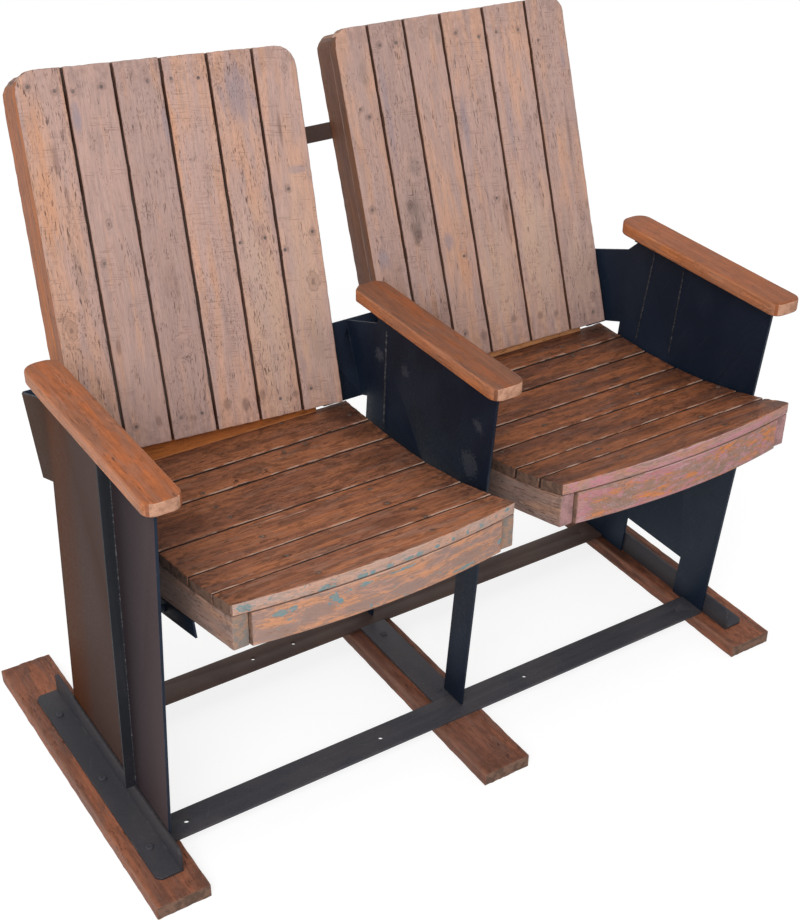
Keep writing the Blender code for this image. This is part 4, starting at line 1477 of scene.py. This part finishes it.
@dataclass
class SteelFrame:
    """Foot irons, floor rails, side panels, tie bar, rods, welds and frame screws."""

    screws: dict[str, tuple[Pair, ...]] = field(default_factory=lambda: {
        "left_foot_iron": ((-0.503, 0.124), (-0.503, -0.034), (-0.503, -0.189)),
        "right_foot_iron": ((0.503, 0.124), (0.503, -0.034), (0.503, -0.189)),
        "centre_foot_flat": ((0.005, 0.030), (0.003, -0.129)),
    })
    seams: tuple[Seam, ...] = (
        Seam(0.0124, (0.0368, 0.5605), (0.0437, 0.4006)),
        Seam(0.4767, (0.0058, 0.5837), (0.0281, 0.4256), 0.0026),
        Seam(0.4767, (-0.0612, 0.5807), (-0.0495, 0.4396), 0.0026),
        Seam(-0.4807, (-0.1345, 0.5792), (-0.1056, 0.0701), 0.0024),
        Seam(-0.4807, (-0.1221, 0.3850), (-0.1181, 0.3780), 0.0060),
    )
    above: float = 0.10

    def build(self) -> None:
        """Builds every part of the frame that stands still."""
        SteelPart("left_side_panel", Body.FRAME, BLACK_STEEL, Facing.LEFT, 11.0,
                  outer=STRIPED_STEEL, rib=RIB_STEEL).build()
        SteelPart("centre_side_panel", Body.FRAME, SCUFFED_STEEL, Facing.LEFT, 12.0).build()
        SteelPart("right_side_panel", Body.FRAME, RUBBED_STEEL, Facing.LEFT, 13.0).build()
        flats = {
            "left_foot_iron": IRON_STEEL, "right_foot_iron": IRON_STEEL, "centre_foot_flat": RAIL_STEEL,
            "front_floor_rail": RAIL_STEEL, "rear_floor_rail": BROWN_RAIL_STEEL,
            "seat_pivot_rod": BLACK_STEEL, "seat_stop_bar": BLACK_STEEL,
        }
        spots = []
        for number, (name, finish) in enumerate(flats.items()):
            piece = SteelPart(name, Body.FRAME, finish, Facing.UP, 21.0 + number).build()
            for x, y in self.screws.get(name, ()):
                spots += landed(piece, Vector((x, y, self.above)), Vector((0.0, 0.0, -1.0)))
        SteelPart("back_tie_bar", Body.FRAME, BROWN_RAIL_STEEL, Facing.VIEWER, 41.0).build()
        Fasteners("frame_screws", Body.FRAME, spots, RAIL_STEEL, radius=0.0055, proud=0.0022,
                  recess=0.0008, seed=3).build()
        Welds(self.seams).build()


@dataclass
class Armrests:
    """The three smooth armrests."""

    marks: dict[str, Marks] = field(default_factory=lambda: {
        "left": Marks(warm=0.55, silver=0.40, cracks=0.45, pits=0.10, saw=0.1, tone=1.03),
        "centre": Marks(warm=0.45, silver=0.40, cracks=0.55, pits=0.10, saw=0.1, tone=0.70),
        "right": Marks(warm=0.95, silver=0.08, cracks=0.45, pits=0.10, saw=0.1, tone=0.83),
    })

    def build(self) -> None:
        """Builds the armrests."""
        for number, (side, marks) in enumerate(self.marks.items()):
            # The left-facing sides get the painted light.
            Board(side + "_armrest", Body.FRAME, "teak_arm", ARM_TEAK, PALE_END, Facing.UP, 61.0 + 3 * number,
                  marks, side=PAINTED_LIGHT_ARM_SIDE_TEAK, rounding=0.0010, waviness=0.0003, nicks=0.0004).build()


@dataclass
class Back:
    """One slatted back."""

    side: Side
    seed: float
    slats: tuple[Marks, ...]
    side_finish: TeakFinish
    strip: TeakFinish

    def build(self) -> None:
        """Builds the slats, their nails and the frame behind them."""
        start = self.side.value + "_back_"
        nails = []
        for number, marks in enumerate(self.slats):
            # The slats after the first get the painted shade on their sides in the gaps.
            side = PAINTED_SHADE_GAP_TEAK if number else self.side_finish
            slat = Board(start + "slat_" + str(number + 1), Body.FRAME, "teak_back", BACK_TEAK, BACK_END,
                         Facing.VIEWER, self.seed + number, marks, side=side)
            slat.build()
            nails += slat.spots
        Fasteners(start + "nails", Body.FRAME, nails, NAIL_STEEL, radius=0.0024, proud=0.0004,
                  recess=0.0001, seed=int(self.seed)).build()
        frame_marks = Marks(warm=0.5, silver=0.2, cracks=0.5, pits=0.2)
        for number, name in enumerate(("stile_left", "stile_right", "top_rail", "bottom_rail")):
            finish = self.strip if name == "bottom_rail" else RAIL_TEAK
            side = None if name == "bottom_rail" else self.side_finish
            Board(start + name, Body.FRAME, "teak_back", finish, BACK_END, Facing.VIEWER,
                  self.seed + 10 + number, frame_marks, side=side).build()


@dataclass
class Seat:
    """One slatted tip-up seat."""

    side: Side
    seed: float
    slats: tuple[Marks, ...]
    wood: TeakFinish
    lip: PaintFinish
    paint: PaintFinish
    end: EndGrainFinish

    def build(self) -> None:
        """Builds the slats with their screws, the side rails, the apron and the hinge irons."""
        start = self.side.value + "_seat_"
        body = self.side.seat
        screws = []
        for number, marks in enumerate(self.slats):
            # The slats after the first get the painted shade on their front sides in the gaps.
            side, front = (PAINTED_SHADE_SEAT_GAP_TEAK, None) if number else (None, self.lip)
            slat = Board(start + "slat_" + str(number + 1), body, "teak_seat", self.wood, BROWN_END,
                         Facing.UP, self.seed + number, marks, front=front, side=side,
                         side_way=Vector((0.0, -1.0, 0.0)))
            slat.build()
            screws += slat.spots
        Fasteners(start + "screws", body, screws, SCREW_STEEL, radius=0.0033, proud=0.0005,
                  recess=0.0009, seed=int(self.seed)).build()
        rail_marks = Marks(warm=0.4, silver=0.4, cracks=0.7, pits=0.2)
        for number, (label, facing) in enumerate((("left", Facing.LEFT), ("right", Facing.RIGHT))):
            # The side rails get the painted light.
            Board(start + "rail_" + label, body, "teak_seat", PAINTED_LIGHT_SEAT_SIDE_TEAK, BROWN_END, facing,
                  self.seed + 10 + number, rail_marks, front=self.end, nicks=0.0008).build()
            SteelPart(self.side.value + "_hinge_iron_" + label, body, BLACK_STEEL, facing,
                      self.seed + 20 + number).build()
        slot = "apron_turquoise" if self.side is Side.LEFT else "apron_pink"
        Board(start + "apron", body, slot, RAIL_TEAK, BROWN_END, Facing.FRONT, self.seed + 30, rail_marks,
              front=self.paint, grain=Vector((1, 0, 0)), nicks=0.0008).build()


LEFT_BACK = (
    Marks(
        warm=0.6, silver=0.25, cracks=0.6, pits=0.5, saw=0.35,
        knots=(Knot(-0.027, 0.187, 0.004, 0.5), Knot(-0.013, -0.079, 0.0075)),
        patches=(
            Patch(-0.015, 0.17, 0.01, 0.045, StainAndLightTint.WARM), Patch(-0.016, 0.085, 0.012, 0.06, StainAndLightTint.WARM),
            Patch(0.005, 0.14, 0.005, 0.022, StainAndLightTint.DARK, 0.45),
            Patch(0.012, 0.095, 0.003, 0.02, StainAndLightTint.DARK, 0.45),
            Patch(0.01, -0.01, 0.008, 0.04, StainAndLightTint.GREY, 0.4),
        ),
        fixings=((-0.015, 0.234), (0.02, 0.226)),
    ),
    Marks(
        warm=0.22, silver=0.45, cracks=0.15, pits=0.3, saw=0.35,
        knots=(Knot(-0.006, 0.049, 0.004),),
        patches=(
            Patch(-0.025, 0.187, 0.007, 0.02, StainAndLightTint.BLUE, 0.7),
            Patch(0.017, -0.224, 0.006, 0.008, StainAndLightTint.DARK, 0.5),
            Patch(-0.022, -0.113, 0.004, 0.012, StainAndLightTint.DARK, 0.5),
        ),
        fixings=((-0.024, 0.223), (0.015, 0.225), (-0.021, -0.001), (-0.016, -0.225)),
    ),
    Marks(
        warm=0.15, silver=0.6, cracks=0.45, pits=0.45, saw=0.3, tone=0.96,
        knots=(Knot(0.01, 0.24, 0.003), Knot(-0.024, 0.222, 0.003), Knot(-0.003, -0.129, 0.006, 0.25)),
        patches=(
            Patch(0.03, 0.17, 0.006, 0.03, StainAndLightTint.BLUE),
            Patch(-0.001, -0.045, 0.014, 0.03, StainAndLightTint.DARK, 0.22),
            Patch(0.002, -0.23, 0.006, 0.007, StainAndLightTint.DARK, 0.5),
        ),
        fixings=((0.012, 0.226), (-0.018, -0.226), (0.014, -0.226)),
    ),
    Marks(
        warm=0.45, silver=0.3, cracks=0.25, pits=0.6, saw=0.5, tone=1.06,
        patches=(
            Patch(-0.03, 0.15, 0.004, 0.07, StainAndLightTint.WARM),
            Patch(-0.015, -0.222, 0.006, 0.008, StainAndLightTint.DARK, 0.5),
            Patch(0.014, -0.227, 0.006, 0.008, StainAndLightTint.DARK, 0.5),
        ),
        fixings=((-0.022, 0.226), (0.017, 0.223)),
    ),
    Marks(
        warm=0.55, silver=0.35, cracks=0.55, pits=0.6, saw=0.35, tone=1.05,
        knots=(Knot(-0.023, 0.224, 0.004), Knot(0.015, 0.227, 0.004)),
        patches=(
            Patch(0.0, 0.2, 0.02, 0.045, StainAndLightTint.BLUE, 0.7),
            Patch(0.027, 0.186, 0.006, 0.016, StainAndLightTint.BLUE, 0.5),
            Patch(0.006, 0.06, 0.014, 0.04, StainAndLightTint.WARM, 0.4),
            # The full-width pale patch low on this slat is painted light.
            Patch(0.0, -0.1, 0.034, 0.16, StainAndLightTint.PALE, 0.62),
            Patch(-0.026, -0.219, 0.006, 0.008, StainAndLightTint.DARK, 0.5),
            Patch(0.024, -0.228, 0.006, 0.007, StainAndLightTint.DARK, 0.5),
        ),
        fixings=((-0.026, -0.003), (0.013, -0.002), (0.0, -0.23)),
    ),
    Marks(
        warm=0.45, silver=0.4, cracks=0.25, pits=0.3, saw=0.4, tone=1.06,
        knots=(Knot(-0.021, 0.232, 0.004), Knot(0.012, 0.224, 0.004), Knot(0.011, -0.074, 0.0085, 0.7)),
        patches=(
            Patch(0.011, 0.085, 0.018, 0.006, StainAndLightTint.BLUE),
            Patch(-0.008, 0.14, 0.003, 0.03, StainAndLightTint.DARK, 0.5),
            # The full-width pale patch low on this slat is painted light.
            Patch(0.0, -0.08, 0.034, 0.18, StainAndLightTint.PALE, 0.5),
            Patch(0.004, -0.16, 0.014, 0.036, StainAndLightTint.GREY, 0.3),
        ),
        fixings=((-0.027, -0.023), (-0.008, 0.06), (0.02, -0.004), (-0.017, -0.225)),
    ),
)
RIGHT_BACK = (
    Marks(
        warm=0.4, silver=0.45, cracks=0.35, pits=0.4, saw=0.3, tone=0.98,
        patches=(
            Patch(0.008, 0.19, 0.01, 0.02, StainAndLightTint.GREY, 0.5),
            Patch(-0.008, -0.074, 0.01, 0.016, StainAndLightTint.BLUE),
            Patch(0.0, -0.15, 0.03, 0.08, StainAndLightTint.BROWN, 0.14),
        ),
        fixings=((-0.005, 0.141), (-0.014, -0.002), (0.008, 0.128)),
    ),
    Marks(
        warm=0.25, silver=0.55, cracks=0.5, pits=0.5, saw=0.35, tone=0.96,
        knots=(Knot(-0.008, -0.006, 0.004, 0.8), Knot(-0.003, -0.055, 0.005, 0.8)),
        patches=(
            Patch(-0.006, -0.01, 0.01, 0.018, StainAndLightTint.DARK, 0.75),
            Patch(-0.002, -0.048, 0.01, 0.02, StainAndLightTint.DARK, 0.75),
            Patch(0.0, -0.02, 0.018, 0.05, StainAndLightTint.GREY, 0.6),
            Patch(-0.02, 0.14, 0.006, 0.08, StainAndLightTint.BLUE, 0.5), Patch(0.01, 0.046, 0.012, 0.016, StainAndLightTint.GREY),
            Patch(0.0, -0.2, 0.034, 0.05, StainAndLightTint.BROWN, 0.25),
        ),
        fixings=((-0.015, 0.224), (0.012, 0.224)),
    ),
    Marks(
        warm=0.5, silver=0.4, cracks=0.25, pits=0.3, saw=0.3,
        knots=(Knot(-0.003, 0.232, 0.005, 0.5),),
        patches=(
            Patch(0.023, 0.222, 0.006, 0.01, StainAndLightTint.GREY), Patch(-0.015, -0.073, 0.008, 0.014, StainAndLightTint.BLUE),
            Patch(0.008, -0.11, 0.01, 0.04, StainAndLightTint.WARM, 0.5),
            Patch(0.021, -0.225, 0.006, 0.007, StainAndLightTint.DARK, 0.5),
        ),
        fixings=((0.008, -0.099), (-0.012, -0.215)),
    ),
    Marks(
        warm=0.45, silver=0.45, cracks=0.3, pits=0.35, saw=0.5, tone=1.03,
        patches=(
            Patch(-0.022, 0.09, 0.006, 0.06, StainAndLightTint.BLUE),
            # The full-width pale patch low on this slat is painted light.
            Patch(-0.004, -0.14, 0.036, 0.09, StainAndLightTint.PALE, 0.5),
            Patch(0.026, -0.05, 0.005, 0.04, StainAndLightTint.DARK, 0.45),
            Patch(0.012, -0.213, 0.006, 0.007, StainAndLightTint.DARK, 0.5),
        ),
        fixings=((-0.015, 0.224), (0.024, 0.213), (0.013, -0.025)),
    ),
    Marks(
        warm=0.45, silver=0.45, cracks=0.35, pits=0.35, saw=0.45, tone=1.05,
        knots=(Knot(0.012, 0.22, 0.006, 0.45),),
        patches=(
            # The full-width pale patch low on this slat is painted light.
            Patch(0.0, -0.13, 0.04, 0.12, StainAndLightTint.PALE, 0.7),
            Patch(-0.018, 0.08, 0.006, 0.06, StainAndLightTint.BLUE, 0.4),
            Patch(-0.016, -0.219, 0.006, 0.007, StainAndLightTint.DARK, 0.5),
            Patch(0.015, -0.222, 0.006, 0.007, StainAndLightTint.DARK, 0.5),
        ),
        fixings=((-0.02, 0.216), (0.02, 0.214)),
    ),
    Marks(
        warm=0.35, silver=0.45, cracks=0.4, pits=0.45, saw=0.4, tone=1.0,
        knots=(
            Knot(0.015, -0.065, 0.004), Knot(0.018, -0.083, 0.004), Knot(0.029, -0.066, 0.003),
            Knot(0.016, -0.211, 0.004, 0.9),
        ),
        patches=(
            # The full-width pale patch low on this slat is painted light.
            Patch(0.0, -0.16, 0.036, 0.08, StainAndLightTint.PALE, 0.5), Patch(0.022, 0.163, 0.004, 0.018, StainAndLightTint.BLUE),
            Patch(0.013, 0.05, 0.003, 0.055, StainAndLightTint.DARK, 0.4),
            Patch(-0.026, 0.09, 0.006, 0.03, StainAndLightTint.DARK, 0.3),
        ),
        fixings=((-0.02, 0.194), (0.012, -0.236)),
    ),
)
LEFT_SEAT = (
    Marks(warm=0.6, silver=0.4, cracks=0.15, pits=0.15, tone=1.2, fixings=((0.008, 0.08), (0.012, -0.085))),
    Marks(
        warm=0.45, silver=0.35, cracks=0.3, pits=0.25, tone=1.14,
        patches=(Patch(0.01, 0.06, 0.016, 0.03, StainAndLightTint.BROWN, 0.4),),
        fixings=((-0.001, 0.105), (0.033, 0.102), (0.004, -0.085)),
    ),
    Marks(
        warm=0.5, silver=0.3, cracks=0.45, pits=0.4, tone=1.1,
        knots=(Knot(-0.023, -0.193, 0.005),),
        patches=(
            Patch(-0.03, -0.054, 0.0014, 0.026, StainAndLightTint.PALE),
            Patch(-0.022, -0.015, 0.0014, 0.022, StainAndLightTint.PALE),
        ),
        fixings=((0.008, -0.082), (0.034, 0.092), (-0.02, 0.098)),
    ),
    Marks(
        warm=0.45, silver=0.25, cracks=0.75, pits=0.65, tone=0.98,
        knots=(Knot(0.023, 0.091, 0.004), Knot(-0.026, 0.091, 0.005), Knot(0.024, -0.148, 0.004)),
        patches=(
            Patch(0.0, -0.15, 0.03, 0.05, StainAndLightTint.BROWN, 0.5),
            Patch(0.0, 0.15, 0.03, 0.04, StainAndLightTint.BROWN, 0.4),
        ),
        fixings=((-0.012, -0.092), (0.022, -0.089)),
    ),
    Marks(
        warm=0.6, silver=0.2, cracks=0.5, pits=0.45, tone=0.94,
        knots=(Knot(0.006, -0.012, 0.011, 0.8), Knot(-0.018, 0.19, 0.004)),
        patches=(
            Patch(0.012, -0.15, 0.02, 0.05, StainAndLightTint.BROWN, 0.6),
            Patch(-0.01, 0.17, 0.02, 0.04, StainAndLightTint.BROWN, 0.5),
        ),
        fixings=((-0.016, 0.054), (-0.019, 0.09), (0.02, -0.09)),
    ),
    Marks(
        warm=0.55, silver=0.15, cracks=0.75, pits=0.65, tone=0.92,
        knots=(Knot(-0.003, -0.024, 0.006), Knot(0.024, 0.041, 0.003)),
        patches=(Patch(0.0, 0.18, 0.034, 0.03, StainAndLightTint.BROWN, 0.6),),
        fixings=((-0.024, 0.089), (0.008, 0.185)),
    ),
)
RIGHT_SEAT = (
    Marks(warm=0.4, silver=0.4, cracks=0.4, pits=0.2, tone=1.06, fixings=((-0.01, -0.084), (0.01, 0.084))),
    Marks(
        warm=0.6, silver=0.25, cracks=0.5, pits=0.3,
        knots=(Knot(-0.007, 0.054, 0.004),),
        patches=(Patch(0.0, 0.01, 0.02, 0.04, StainAndLightTint.BROWN, 0.4),),
        fixings=((0.018, 0.093), (0.004, -0.084)),
    ),
    Marks(
        warm=0.5, silver=0.25, cracks=0.6, pits=0.4,
        knots=(Knot(0.012, 0.066, 0.009, 0.5), Knot(0.028, -0.08, 0.004), Knot(0.008, -0.085, 0.005)),
        fixings=((-0.024, -0.183), (0.005, 0.195)),
    ),
    Marks(
        warm=0.5, silver=0.25, cracks=0.6, pits=0.4, tone=1.04,
        patches=(Patch(0.0, 0.17, 0.03, 0.04, StainAndLightTint.BROWN, 0.45),),
        fixings=((-0.022, 0.098), (0.008, 0.094), (0.009, -0.082)),
    ),
    Marks(
        warm=0.5, silver=0.25, cracks=0.5, pits=0.4,
        knots=(Knot(0.012, 0.101, 0.004), Knot(-0.008, 0.165, 0.005), Knot(-0.015, 0.198, 0.004)),
        fixings=((-0.026, 0.096),),
    ),
    Marks(
        warm=0.4, silver=0.25, cracks=0.6, pits=0.3, tone=0.92,
        patches=(Patch(0.0, -0.14, 0.03, 0.06, StainAndLightTint.BROWN, 0.4),),
        fixings=((-0.019, 0.094), (0.006, -0.085)),
    ),
    Marks(
        warm=0.4, silver=0.25, cracks=0.6, pits=0.3, tone=0.9,
        patches=(Patch(0.0, 0.17, 0.03, 0.04, StainAndLightTint.BROWN, 0.5),),
        fixings=((0.008, 0.098), (0.02, 0.13)),
    ),
)


def main() -> None:
    """Builds the studio and every sub-assembly."""
    logging.basicConfig(level=logging.INFO, format="%(message)s")
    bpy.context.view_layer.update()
    assemblies = (
        Studio(),
        Skids(),
        SteelFrame(),
        Armrests(),
        Back(Side.LEFT, 100.0, LEFT_BACK, LEFT_SIDE_TEAK, LEFT_STRIP_TEAK),
        Back(Side.RIGHT, 130.0, RIGHT_BACK, RIGHT_SIDE_TEAK, RIGHT_STRIP_TEAK),
        Seat(Side.LEFT, 160.0, LEFT_SEAT, SEAT_TEAK, TURQUOISE_LIP, TURQUOISE_FRONT, TURQUOISE_END),
        Seat(Side.RIGHT, 200.0, RIGHT_SEAT, RIGHT_SEAT_TEAK, PINK_LIP, PINK_FRONT, PINK_END),
    )
    for assembly in assemblies:
        assembly.build()


if __name__ == "__main__":
    main()
